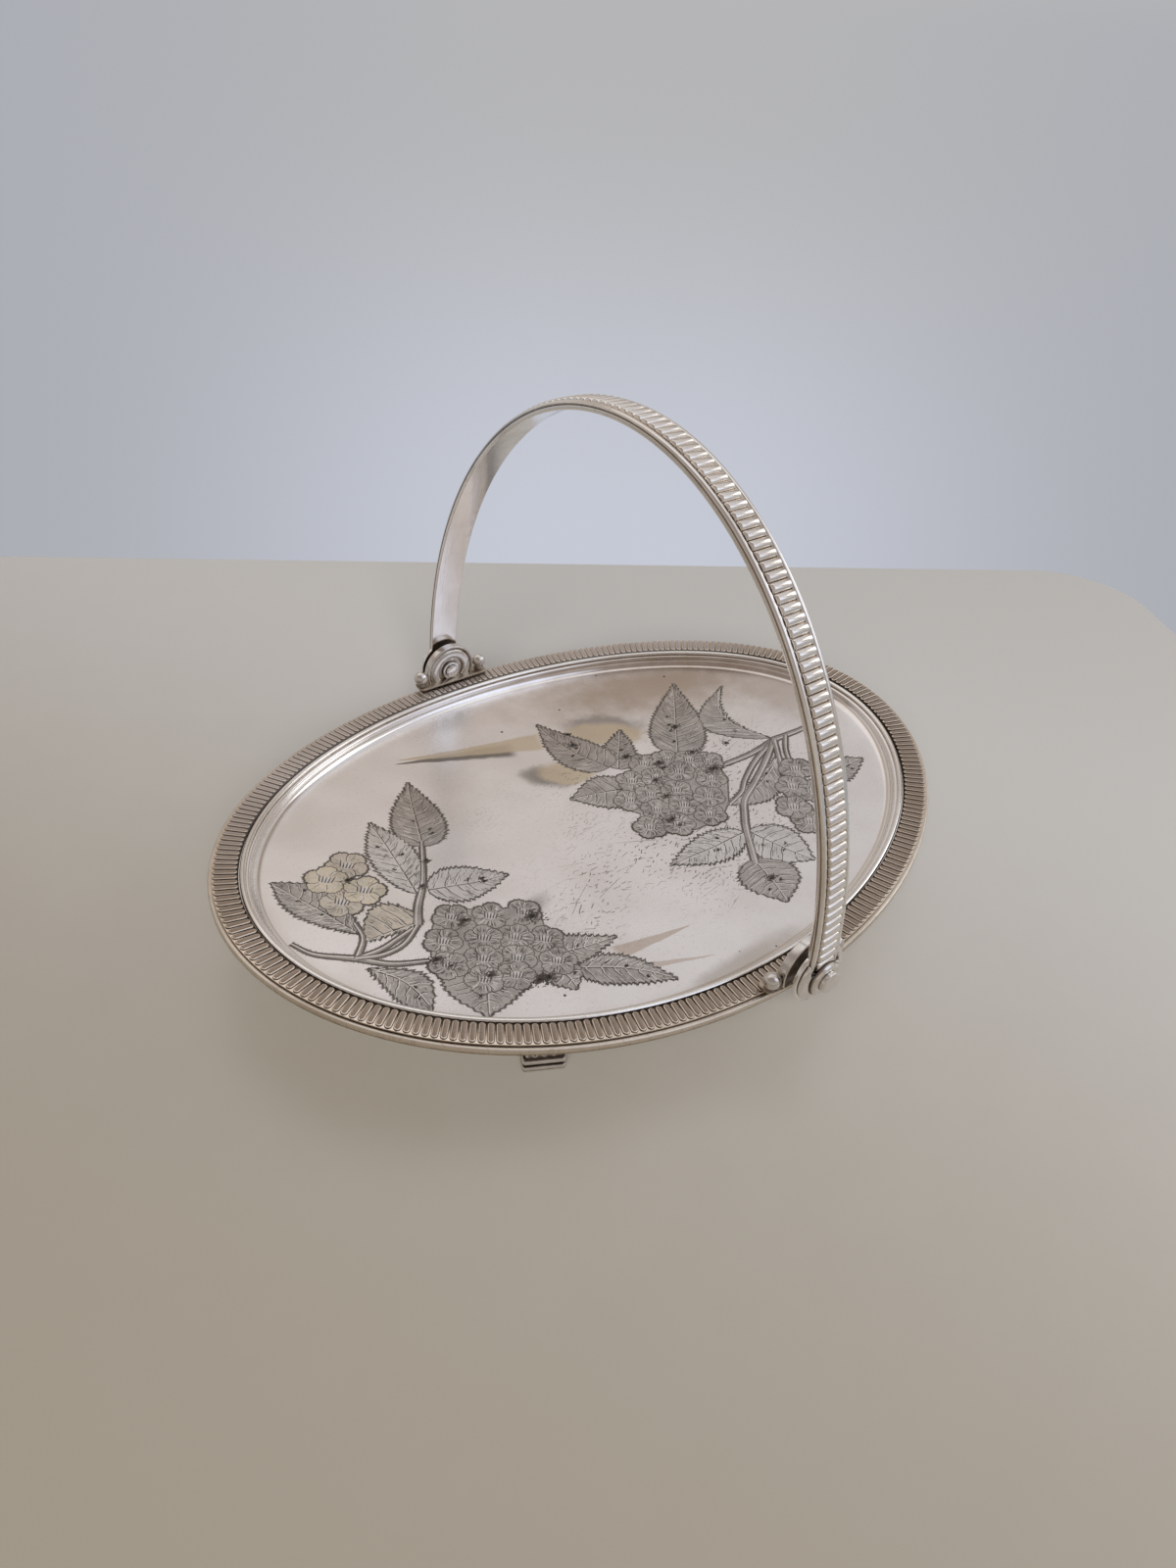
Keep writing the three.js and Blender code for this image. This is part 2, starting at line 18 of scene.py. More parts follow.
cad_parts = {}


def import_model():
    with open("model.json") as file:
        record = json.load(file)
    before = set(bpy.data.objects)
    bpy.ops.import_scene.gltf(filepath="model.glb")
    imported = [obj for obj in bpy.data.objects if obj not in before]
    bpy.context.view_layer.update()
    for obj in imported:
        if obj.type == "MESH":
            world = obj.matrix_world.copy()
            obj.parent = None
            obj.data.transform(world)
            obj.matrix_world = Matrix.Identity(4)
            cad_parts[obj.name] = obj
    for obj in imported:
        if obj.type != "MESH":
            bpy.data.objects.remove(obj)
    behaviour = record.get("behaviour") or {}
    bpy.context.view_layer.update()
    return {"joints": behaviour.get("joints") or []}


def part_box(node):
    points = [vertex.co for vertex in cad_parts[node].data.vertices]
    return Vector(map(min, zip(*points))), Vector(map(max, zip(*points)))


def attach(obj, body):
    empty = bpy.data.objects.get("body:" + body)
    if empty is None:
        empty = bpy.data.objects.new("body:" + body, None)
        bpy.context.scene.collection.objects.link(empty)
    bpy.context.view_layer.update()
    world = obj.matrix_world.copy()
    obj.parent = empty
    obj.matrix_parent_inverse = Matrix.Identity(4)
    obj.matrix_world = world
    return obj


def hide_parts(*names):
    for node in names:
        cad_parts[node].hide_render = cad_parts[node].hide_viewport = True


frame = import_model()

mm = 0.001

# Sizes that the model gives
rim_half_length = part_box("rim_edge_wire")[1].x
rim_half_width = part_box("rim_edge_wire")[1].y
hinge = Vector(frame["joints"][0]["pos_m"])
pad_low, pad_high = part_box("hinge_bracket_back")
ear_radius = pad_high.z - hinge.z
eye_radius = hinge.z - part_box("handle_strap")[0].z
arch_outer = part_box("handle_strap")[1].z - hinge.z
strap_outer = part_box("handle_strap")[1].y

# Tray
rim_height = 20 * mm
end_rise = 7.5 * mm
sheet = 1.1 * mm
flange_top = -1.15 * mm
flange_inset = 2.3 * mm
roll_inset = 10.3 * mm
roll_radius = 0.75 * mm
cove_radius = 2.6 * mm
cove_inset = roll_inset + roll_radius + cove_radius
base_top = flange_top - roll_radius - cove_radius

# What is left open between soldered parts here, and in the model
join = 0.02 * mm
seam = 0.3 * mm

# Rim borders
edge_wire_width = 2 * mm
edge_wire_height = 2.1 * mm
band_outer = 1.2 * mm
band_inner = 8 * mm
band_bottom = flange_top + join
band_plate_top = -0.42 * mm
rim_reeds = 288
rim_reed_half_width = 0.92 * mm
rim_reed_end = 0.12 * mm
bead_outer = 8.3 * mm
bead_inner = 10 * mm
bead_height = 1.08 * mm

# Handle
strap_half_width = 5 * mm
strap_thickness = 1.2 * mm
half_span = strap_outer - strap_thickness
arch_height = arch_outer - strap_thickness
moulding_width = 1.75 * mm
moulding_height = 1.13 * mm
moulding_setback = 0.05 * mm
handle_band_half = 3.1 * mm
handle_band_plate = 0.5 * mm
cross_bar_half_width = 1.31 * mm
cross_bar_height = 1.23 * mm
cross_bar_pitch = 2.65 * mm
ornament_start = 3.2 * mm
ornament_base = strap_thickness + join

# Hinges
bore_radius = 2.2 * mm
shank_radius = 1.9 * mm
ear_thickness = 2.5 * mm

# Feet. The levels are heights, setbacks and depths of flute in mm, up from the table and down from the tray
foot_angle = math.radians(54.4)
foot_inset = 14.6 * mm
foot_width = 11.4 * mm
foot_depth = 7.6 * mm
foot_corner = 0.7 * mm
full_flute = 0.75
neck_start = 4.1
foot_levels = [
    (0.0, 0.3, 0), (0.35, 0.0, 0), (1.35, 0.0, 0), (1.7, 0.3, 0), (1.75, 0.6, 0), (2.3, 0.6, 0),
    (2.4, 0.35, 0), (2.7, 0.1, 0), (3.2, 0.0, 0), (3.7, 0.1, 0), (4.0, 0.4, 0), (neck_start, 0.8, 0),
    (4.4, 0.9, 0.1), (4.7, 0.9, 0.55), (5.2, 0.9, full_flute), (8.0, 0.9, full_flute),
    (10.5, 0.9, full_flute),
]
foot_top_levels = [
    (-3.0, 0.9, full_flute), (-2.4, 0.9, 0.55), (-2.0, 0.9, 0.1), (-1.8, 0.5, 0), (-1.5, 0.2, 0),
    (-0.9, 0.2, 0), (0.0, 0.2, 0),
]
# Dirt and painted shade on a foot's base: heights in mm and how dark they are
foot_dirt_and_shade_heights = (0.0, 0.5, 1.35, 1.75, 2.3, 2.7, 3.2, 3.7, 4.1)
foot_dirt_and_shade_shares = (1.0, 0.6, 0.35, 1.0, 1.0, 0.3, 0.0, 0.4, 1.0)

# Fineness
oval_steps = 480
arch_steps = 360
turned_sides = 96


# Shapes as arrays of points

def round_angles(count):
    """Even angles once round."""
    return np.linspace(0, 2 * math.pi, count, endpoint=False)


def unit(vectors):
    """The same directions with a length of one."""
    return vectors / (np.linalg.norm(vectors, axis=-1, keepdims=True) + 1e-12)


def quarter_turn(vectors):
    """Level vectors, turned a quarter to the left."""
    return np.stack([-vectors[..., 1], vectors[..., 0]], -1)


def heading(angle):
    """Level directions at these angles."""
    return np.stack([np.cos(angle), np.sin(angle)], -1)


def at_height(level, z):
    """Level points, put at this height or at a height each."""
    return np.column_stack([level, np.broadcast_to(z, len(level))])


def travel_along(line):
    """How far each point of a line is from its start, measured along it."""
    return np.concatenate([[0], np.cumsum(np.linalg.norm(np.diff(line, axis=0), axis=1))])


def bend(x):
    """How much higher the tray stands at x than at its middle."""
    return end_rise * (x / rim_half_length) ** 2


def outward(angle):
    """Level directions square to the rim's edge."""
    return unit(np.stack([rim_half_width * np.cos(angle), rim_half_length * np.sin(angle)], -1))


def tray_point(angle, inset, height):
    """Points on the tray: angle round the oval, distance in from the edge, height from the rim's crest."""
    n = outward(angle)
    x = rim_half_length * np.cos(angle) - inset * n[..., 0]
    y = rim_half_width * np.sin(angle) - inset * n[..., 1]
    return np.stack([x, y, rim_height + height + bend(x)], -1)


def round_the_tray(section):
    """Rings of points: one section of (inset, height) at each step of the oval."""
    inset, height = np.array(section).T
    return tray_point(round_angles(oval_steps)[:, None], inset, height)


def arc(centre, radius, start, end, steps):
    """Points of an arc, with angles in degrees."""
    a = np.radians(np.linspace(start, end, steps + 1))
    return [(centre[0] + radius * math.cos(t), centre[1] + radius * math.sin(t)) for t in a]


def rounded(corners, radius, steps=3):
    """A closed outline with its corners rounded off by up to this radius."""
    points = np.array(corners, float)
    out = []
    for before, here, after in zip(np.roll(points, 1, 0), points, np.roll(points, -1, 0)):
        back, ahead = before - here, after - here
        cut = min(radius, 0.45 * np.linalg.norm(back), 0.45 * np.linalg.norm(ahead))
        start, end = here + unit(back) * cut, here + unit(ahead) * cut
        for t in np.linspace(0, 1, steps + 1):
            out.append((1 - t) ** 2 * start + 2 * t * (1 - t) * here + t ** 2 * end)
    return np.array(out)


def rounded_box(left, right, low, high, radius, steps):
    """A rectangle with rounded corners."""
    return rounded([(left, low), (right, low), (right, high), (left, high)], radius, steps)


def half_round(inner, outer, base, height, steps=10):
    """A bead's section: a flat underside and a half-round top."""
    middle, half = (inner + outer) / 2, abs(outer - inner) / 2
    side = 0.3 * height
    turns = np.linspace(0, math.pi, steps + 1)
    top = [(middle + half * math.cos(t), base + side + (height - side) * math.sin(t)) for t in turns]
    return np.array([(middle + half, base)] + top + [(middle - half, base)])


# The arch's inner face, measured along its length from the back hinge
arch_turns = np.linspace(0, math.pi, 6001)
arch_line = np.stack([half_span * np.cos(arch_turns), arch_height * np.sin(arch_turns)], -1)
arch_travel = travel_along(arch_line)
arch_length = arch_travel[-1]


def handle_point(along, across, over):
    """Points of the handle: distance along from the back hinge, place across, height over the inner face."""
    along, across, over = np.broadcast_arrays(along, across, over)
    turn = np.interp(along, arch_travel, arch_turns)
    normal = unit(np.stack([arch_height * np.cos(turn), half_span * np.sin(turn)], -1))
    y = half_span * np.cos(turn) + over * normal[..., 0]
    z = arch_height * np.sin(turn) + over * normal[..., 1]
    z = z + np.minimum(along, 0) + np.minimum(arch_length - along, 0)
    return np.stack([across, y, z + hinge.z], -1)


def strip_shape(section):
    """A strip of one section of (across, over) along the strap's outer face, from hinge to hinge."""
    along = np.linspace(ornament_start, arch_length - ornament_start, arch_steps)
    across, over = np.array(section).T
    return loft(handle_point(along[:, None], across, over), False)


def grid_faces(rows, size):
    """Quads between rows of points."""
    return [(r * size + k, r * size + k + 1, (r + 1) * size + k + 1, (r + 1) * size + k)
            for r in range(rows - 1) for k in range(size - 1)]


def loft(rings, closed):
    """Points and faces of a skin over rings of points, with a fan over each end where the row is open."""
    rings = np.array(rings, float)
    count, size = rings.shape[:2]
    points = rings.reshape(-1, 3)
    after = [(k + 1) % size for k in range(size)]
    faces = []
    for r in range(count if closed else count - 1):
        here, there = r * size, (r + 1) % count * size
        faces += [(here + k, there + k, there + after[k], here + after[k]) for k in range(size)]
    if not closed:
        points = np.concatenate([points, [rings[0].mean(0)], [rings[-1].mean(0)]])
        first, last, end = count * size, count * size + 1, (count - 1) * size
        for k in range(size):
            faces += [(first, k, after[k]), (last, end + after[k], end + k)]
    return points, faces


def joined(parts):
    """Several (points, faces) as one."""
    points, faces, start = [], [], 0
    for part_points, part_faces in parts:
        points.append(part_points)
        faces += [tuple(start + i for i in face) for face in part_faces]
        start += len(part_points)
    return np.concatenate(points), faces


def turned(outline):
    """A turned shape about the hinge line: closed outline points are (radius, distance from the middle)."""
    a = round_angles(turned_sides)[:, None]
    radius, y = np.array(outline, float).T
    return loft(np.stack([np.cos(a) * radius, y + 0 * a, hinge.z + np.sin(a) * radius], -1), True)


def turned_post(radius, reach):
    """A round post along the hinge line, from end to end."""
    return loft([[(radius * math.cos(t), y, hinge.z + radius * math.sin(t)) for t in round_angles(48)]
                 for y in (-reach, reach)], False)


# Meshes

def new_object(name, data):
    obj = bpy.data.objects.new(name, data)
    bpy.context.scene.collection.objects.link(obj)
    return obj


def mesh_object(name, shape):
    mesh = bpy.data.meshes.new(name)
    mesh.from_pydata(np.array(shape[0], float).tolist(), [], shape[1])
    return new_object(name, mesh)


def make(name, shape, material, body, slot, grooves=None, sharp=40):
    """A shaded piece that rides on a body. Flat work has no sharp angle and only faces up."""
    obj = mesh_object(name, shape)
    if grooves is not None:
        layer = obj.data.attributes.new("groove", "FLOAT", "POINT")
        layer.data.foreach_set("value", np.array(grooves, np.float32).ravel())
    if sharp is None:
        face_up(obj)
    else:
        finish_mesh(obj, sharp)
    obj.data.materials.append(material)
    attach(obj, body)
    return obj


def piece(name, *details, **named):
    """A piece that stands for the model's node of this name."""
    obj = make(f"silver_{name}", *details, **named)
    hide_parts(name)
    return obj


@contextmanager
def edited(obj):
    """The object's mesh, opened for changes."""
    work = bmesh.new()
    work.from_mesh(obj.data)
    yield work
    work.to_mesh(obj.data)
    work.free()


def face_up(obj):
    with edited(obj) as work:
        work.normal_update()
        for face in work.faces:
            if face.normal.z < 0:
                face.normal_flip()


def finish_mesh(obj, sharp):
    """Faces turned outwards and shaded smooth, with edges kept where they are sharp."""
    with edited(obj) as work:
        bmesh.ops.recalc_face_normals(work, faces=work.faces)
        for face in work.faces:
            face.smooth = True
    obj.data.set_sharp_from_angle(angle=math.radians(sharp))


def ends(points):
    """A shape's points at the back hinge, and turned half round for the front."""
    return (("back", points), ("front", points * np.array([-1, -1, 1])))


def both_ends(name, shape, *details, **named):
    """One piece at the back hinge and the same piece at the front."""
    return [piece(f"{name}_{place}", (spot, shape[1]), *details, **named) for place, spot in ends(shape[0])]


def cut_with(obj, shape):
    """Cuts a closed shape out of a piece."""
    cutter = mesh_object("cutter", shape)
    finish_mesh(cutter, 30)
    modifier = obj.modifiers.new("cut", "BOOLEAN")
    modifier.operation = "DIFFERENCE"
    modifier.object = cutter
    modifier.solver = "EXACT"
    result = bpy.data.meshes.new_from_object(obj.evaluated_get(bpy.context.evaluated_depsgraph_get()))
    obj.modifiers.remove(modifier)
    obj.data = result
    bpy.data.objects.remove(cutter)


def take_away(obj, low, high):
    """Cuts a box out of a piece."""
    faces = [(0, 1, 3, 2), (4, 6, 7, 5), (0, 4, 5, 1), (2, 3, 7, 6), (0, 2, 6, 4), (1, 5, 7, 3)]
    cut_with(obj, (list(product(*zip(low, high))), faces))


def cut_below(obj, z):
    """Takes off what lies under this height and closes the cut."""
    with edited(obj) as work:
        geometry = work.verts[:] + work.edges[:] + work.faces[:]
        plane = {"plane_co": (0, 0, z), "plane_no": (0, 0, 1)}
        cut = bmesh.ops.bisect_plane(work, geom=geometry, clear_inner=True, **plane)
        edges = [e for e in cut["geom_cut"] if isinstance(e, bmesh.types.BMEdge)]
        bmesh.ops.holes_fill(work, edges=edges, sides=0)


# Materials

class Value:
    """An output of a shader node, so that shaders can be written as sums and products."""

    def __init__(self, socket):
        self.socket = socket
        self.tree = socket.id_data

    def __add__(self, other):
        return maths("ADD", self, other)

    def __sub__(self, other):
        return maths("SUBTRACT", self, other)

    def __mul__(self, other):
        return maths("MULTIPLY", self, other)

    def __truediv__(self, other):
        return maths("DIVIDE", self, other)

    def __abs__(self):
        return maths("ABSOLUTE", self)


def set_inputs(made, inputs):
    """Sets a node's inputs, by name or number, to numbers, colours or other nodes' outputs."""
    for key, value in inputs.items():
        socket = made.inputs[key]
        if isinstance(value, Value):
            value.tree.links.new(value.socket, socket)
        else:
            socket.default_value = (*value, 1.0) if socket.type == "RGBA" else value


def new_node(tree, kind, inputs, **settings):
    """The outputs of a new shader node, by name and by number."""
    made = tree.nodes.new(f"ShaderNode{kind}")
    for key, value in settings.items():
        setattr(made, key, value)
    set_inputs(made, inputs)
    found = {}
    for number, socket in enumerate(made.outputs):
        found[number] = found[socket.name] = Value(socket)
    return found


def maths(operation, first, second=0.0):
    return new_node(first.tree, "Math", {0: first, 1: second}, operation=operation)[0]


def larger(first, second):
    return maths("MAXIMUM", first, second)


def below(value, limit):
    """1 where the value is below the limit, else 0."""
    return maths("LESS_THAN", value, limit)


def between(value, low, high):
    """0 below low and 1 above high, smooth between."""
    return new_node(value.tree, "MapRange", {0: value, 1: low, 2: high}, interpolation_type="SMOOTHSTEP")[0]


def mixed(share, first, second):
    """The first colour, or as much of the second as the share says."""
    return new_node(share.tree, "Mix", {0: share, 6: first, 7: second}, data_type="RGBA")[2]


def graded(value, low, high, first, second):
    """The first colour below low and the second above high, smooth between."""
    return mixed(between(value, low, high), first, second)


def tinted(surface, tint):
    inputs = {0: 1.0, 6: surface, 7: tint}
    return new_node(surface.tree, "Mix", inputs, data_type="RGBA", blend_type="MULTIPLY")[2]


def noise(place, scale, detail=3.0, roughness=0.55):
    inputs = {"Vector": place, "Scale": scale, "Detail": detail, "Roughness": roughness}
    return new_node(place.tree, "TexNoise", inputs)[0]


def axes(place):
    split = new_node(place.tree, "SeparateXYZ", {0: place})
    return split[0], split[1], split[2]


def channels(colour):
    split = new_node(colour.tree, "SeparateColor", {0: colour})
    return split[0], split[1], split[2]


def turned_place(place, angle, stretch):
    """The place, turned about the upright axis and stretched, for streaks in one direction."""
    inputs = {"Vector": place, "Rotation": (0, 0, math.radians(angle)), "Scale": stretch}
    return new_node(place.tree, "Mapping", inputs, vector_type="POINT")[0]


def along_and_across(x, y, cosine, sine):
    return x * cosine + y * sine, y * cosine - x * sine


def bump(height, strength, distance, first=None):
    """The surface's direction with this height on it, on top of the first bump."""
    inputs = {"Strength": strength, "Distance": distance, "Height": height}
    if first:
        inputs["Normal"] = first
    return new_node(height.tree, "Bump", inputs)[0]


def hairlines(place, scale, reach, width, share):
    """Thin scratches, one in each cell of a random pattern, each with its own direction and bow."""
    cells = new_node(place.tree, "TexVoronoi", {"Vector": place, "Scale": scale}, voronoi_dimensions="2D")
    local = new_node(place.tree, "VectorMath", {0: place, 1: cells["Position"]}, operation="SUBTRACT")[0]
    x, y, _ = axes(local)
    first, second, third = channels(cells["Color"])
    turn = (first - 0.4) * 1.5
    along, across = along_and_across(x, y, maths("COSINE", turn), maths("SINE", turn))
    across = across + along * along * (second - 0.5) * 12.0
    within = between(abs(along) / ((second + 0.3) * reach), 1.0, 0.4)
    return below(abs(across), width) * within * below(third, share)


def local_place(place, middle, turn):
    """Place measured from a middle point in the plan, along a direction and across it."""
    x, y, _ = axes(place)
    return along_and_across(x - middle[0] * mm, y - middle[1] * mm, math.cos(turn), math.sin(turn))


def spot_mark(place, middle, reach, turn, soft):
    """1 inside an uneven oval spot on the base, fading to 0 at its edge."""
    along, across = local_place(place, middle, turn)
    along, across = along / (reach[0] * mm), across / (reach[1] * mm)
    away = maths("SQRT", along * along + across * across) + (noise(place, 160.0) - 0.5) * 0.5
    return between(away, 1.0, 1.0 - soft)


def wedge_mark(place, tip, end, width, soft):
    """1 inside a long streak that widens from its tip to its end."""
    turn = math.atan2(end[1] - tip[1], end[0] - tip[0])
    along, across = local_place(place, tip, turn)
    share = along / (math.dist(tip, end) * mm)
    half = share * (width / 2 * mm) + 0.1 * mm
    away = abs(across + (noise(place, 200.0) - 0.5) * (1.2 * mm)) / half
    return between(away, 1.0, 1.0 - soft) * between(share, 0.0, 0.04) * between(share, 1.04, 0.94)


# What tarnish, grain, scratches and pits turn the silver to, and the lighter painted shade of groove bottoms
# toward the back
tarnish_brown = (0.5, 0.42, 0.33)
grain_grey = (0.5, 0.46, 0.44)
scratch_brown = (0.2, 0.17, 0.15)
pit_black = (0.06, 0.05, 0.045)
back_bottom = (0.34, 0.33, 0.34)

# The marks on the tray's base and front wall, darker along their near edges: shape, colour and strength
gold, brown, dark = (0.66, 0.565, 0.42), (0.6, 0.5, 0.42), (0.2, 0.175, 0.15)
tray_marks = [
    (spot_mark, ((65, 46), (78, 29), -0.34, 0.9), (0.5, 0.41, 0.335), 0.95),
    (spot_mark, ((101, 13), (25, 31), 0.2, 0.9), (0.57, 0.495, 0.43), 0.75),
    (spot_mark, ((-8, -73), (30, 5.5), 0.03, 0.7), (0.52, 0.46, 0.4), 0.7),
    (wedge_mark, ((-41, 56), (-2.5, 42.9), 10, 0.5), dark, 0.9),
    (wedge_mark, ((-39.5, 57.5), (9, 41.5), 11.5, 0.35), gold, 0.85),
    (spot_mark, ((31.5, 36), (18, 9.5), -0.6, 0.5), dark, 0.6),
    (spot_mark, ((29.5, 33), (17, 8), -0.6, 0.35), gold, 0.9),
    (spot_mark, ((-1.5, 24), (12, 7.5), -0.7, 0.6), dark, 0.75),
    (spot_mark, ((4.5, 22.5), (11, 7.5), -0.6, 0.35), gold, 0.9),
    (spot_mark, ((-42.5, -24), (9, 5), 0.3, 0.9), dark, 0.6),
    (wedge_mark, ((-9, -54), (-34, -51), 5.5, 0.2), brown, 0.8),
    (wedge_mark, ((-11, -66.5), (-38, -56), 3.5, 0.2), brown, 0.7),
]


def streaks(place, angle, stretch):
    """Fine brushed lines in one direction."""
    return between(noise(turned_place(place, angle, stretch), 1.0, 1.0), 0.6, 0.74)


def new_material(name, metallic=0.0):
    """A new material, its shader and the place on the piece."""
    material = bpy.data.materials.new(name)
    material.use_nodes = True
    shader = material.node_tree.nodes["Principled BSDF"]
    set_inputs(shader, {"Metallic": metallic})
    return material, shader, new_node(material.node_tree, "TexCoord", {})["Object"]


def brushed(place):
    """How strong the scratches are on a wiped surface: fine lines in two directions."""
    along = streaks(place, 0, (2600.0, 90.0, 90.0))
    across = streaks(place, 50, (60.0, 1900.0, 300.0))
    return larger(along * 0.7, across * 0.4)


def base_wear(place, flat):
    """How strong the grain and the scratches are on the tray's base, most of all in the handled middle."""
    patches = between(noise(place, 22.0, 2.0), 0.36, 0.62) * spot_mark(place, (8, -14), (88, 50), 0.1, 0.6)
    grain = between(noise(turned_place(place, 35, (1.0, 2.2, 1.0)), 900.0, 4.0, 0.7), 0.46, 0.7)
    lines = [hairlines(place, scale, reach * mm, width * mm, share) for scale, reach, width, share in (
        (560.0, 0.9, 0.13, 0.5), (260.0, 2.0, 0.12, 0.5), (75.0, 9.0, 0.08, 0.8))]
    scratch = larger(larger(lines[0], lines[1]), lines[2])
    return grain * flat * (patches + 0.04), scratch * (patches * 1.15 + 0.03) * flat


def pit_holes(place, share):
    """1 in small round pits, one in some cells of a random pattern."""
    cells = new_node(place.tree, "TexVoronoi", {"Vector": place, "Scale": 200.0})
    first, second, _ = channels(cells["Color"])
    return below(first, share) * below(cells["Distance"], second * 0.09 + 0.03)


def relief_dirt_and_shade(place, dirt_and_shade, back_crest):
    """The tint of a relief and how deep in its dark bottom a point lies: crest, flank and bottom tints that
    paint shade, reflections and highlights, with some dirt, lighter toward the back if asked.
    """
    crest, flank, bottom, deep_from, unevenness = dirt_and_shade
    groove = new_node(place.tree, "Attribute", {}, attribute_name="groove")["Fac"]
    groove = groove + (noise(place, 380.0, 3.0) - 0.5) * unevenness
    if back_crest:
        toward_back = between(axes(place)[1], 15 * mm, 65 * mm)
        crest = mixed(toward_back, crest, back_crest)
        bottom = mixed(toward_back, bottom, back_bottom)
    deep = between(groove, deep_from, 1.0)
    return mixed(deep, graded(groove, 0.54, 0.7, crest, flank), bottom), deep


def silver(name, colour, roughness, stain, wear, wobble=0.0, dirt_and_shade=None, back_crest=None, pits=0.0):
    """Silver plate with clouded tarnish, scratches, and grooves tinted with dirt and painted shade. Only the
    tray is pitted and marked.
    """
    material, shader, place = new_material(name, 1.0)
    clouds = between(noise(place, 34.0, 4.0), 0.42, 0.68)
    specks = between(noise(place, 900.0, 2.0), 0.56, 0.74)
    stained = larger(clouds, specks) * stain
    surface = mixed(stained, colour, tarnish_brown)
    rough = stained * 0.22 + roughness
    height = noise(place, 2600.0, 2.0) * 0.15

    if pits:
        for shape, where, mark, strength in tray_marks:
            surface = mixed(shape(place, *where) * strength, surface, mark)
        flat = between(axes(new_node(place.tree, "NewGeometry", {})["Normal"])[2], 0.95, 0.99)
        rough = rough + flat * 0.12
        grain, scratch = base_wear(place, flat)
        surface = mixed(grain * 0.4, surface, grain_grey)
    else:
        scratch = brushed(place)
    scratch = scratch * wear
    surface = mixed(scratch * 0.85, surface, scratch_brown)
    rough = rough + scratch * 0.2
    height = height - scratch

    if pits:
        hole = pit_holes(place, pits)
        surface = mixed(hole * 0.85, surface, pit_black)
        rough = rough + hole * 0.4
        height = height - hole
    if dirt_and_shade:
        tint, deep = relief_dirt_and_shade(place, dirt_and_shade, back_crest)
        surface = tinted(surface, tint)
        rough = rough + deep * 0.35

    waves = bump(noise(place, 30.0, 1.0), 1.0, wobble) if wobble else None
    normal = bump(height, 0.35, 0.03 * mm, waves)
    set_inputs(shader, {"Base Color": surface, "Roughness": maths("MINIMUM", rough, 0.8), "Normal": normal})
    return material


def engraved_metal(name, colour, roughness, shade=0.4):
    """Oxidised or bright engraved silver: one tone with a fine uneven grain, browner toward the back."""
    material, shader, place = new_material(name, 1.0)
    grain = noise(turned_place(place, 40, (1.0, 4.0, 1.0)), 1500.0, 3.0)
    clouds = between(noise(place, 120.0, 3.0), 0.4, 0.66)
    darker = tuple(c * (1 - shade) for c in colour)
    surface = mixed((clouds + between(grain, 0.42, 0.6)) * 0.5, colour, darker)
    browner = (colour[0] * 0.55, colour[1] * 0.48, colour[2] * 0.42)
    surface = mixed(between(axes(place)[1], 5 * mm, 42 * mm) * 0.4, surface, browner)
    set_inputs(shader, {"Base Color": surface, "Roughness": roughness, "Normal": bump(grain, 0.6, 0.04 * mm)})
    return material


# Dirt and painted light on reliefs: the tints of crest, flank and bottom, how low the bottom starts, and how
# uneven the edges are
white = (1, 1, 1)
# Mouldings: the brown flanks are a painted reflection, the dark feet painted shade
moulding_painted_shade = (white, (0.54, 0.465, 0.4), (0.25, 0.205, 0.17), 0.8, 0.25)
# Reeds: the brown crests and bright lips are a painted reflection and painted highlights, the dark bottoms
# painted shade
reed_painted_shading = ((0.38, 0.325, 0.28), (0.9, 0.82, 0.73), (0.07, 0.055, 0.045), 0.75, 0.14)
# Cross bars: the dark gaps between them are painted shade
bar_painted_shade = ((0.98, 0.96, 0.94), (0.86, 0.79, 0.72), (0.14, 0.115, 0.095), 0.8, 0.1)
# Cast work: darker grooves, ball undersides and the ear's outer face are painted shade
cast_painted_shade = (white, (0.92, 0.88, 0.84), (0.34, 0.29, 0.25), 0.66, 0.6)
# Edge wire: darker toward its underside, painted shade
edge_painted_shade = (white, (0.6, 0.54, 0.48), (0.45, 0.4, 0.35), 0.7, 0.3)
# Hinge plates: darker where they meet other parts, painted shade
hinge_painted_shade = (white, (0.75, 0.7, 0.64), (0.26, 0.22, 0.19), 0.6, 0.3)
# Feet: dirt and painted shade in the flutes, bands and bottom edge
foot_dirt_and_shade = (white, (0.5, 0.45, 0.41), (0.12, 0.1, 0.09), 0.7, 0.35)

# Silver: colour, roughness, and how strong the stains and scratches are
tray_silver = silver("tray_silver", (0.9, 0.87, 0.85), 0.13, 0.14, 1.1, 0.6 * mm, pits=0.06)
polished = silver("polished_silver", (0.9, 0.87, 0.84), 0.12, 0.3, 0.3, 0.25 * mm)
# The edge wire's beige is tarnish and partly a painted reflection of the table
edge_silver = silver("edge_silver", (0.76, 0.68, 0.58), 0.38, 0.4, 0.3, dirt_and_shade=edge_painted_shade)
mouldings = silver("moulding_silver", (0.88, 0.85, 0.81), 0.15, 0.3, 0.2, dirt_and_shade=moulding_painted_shade)
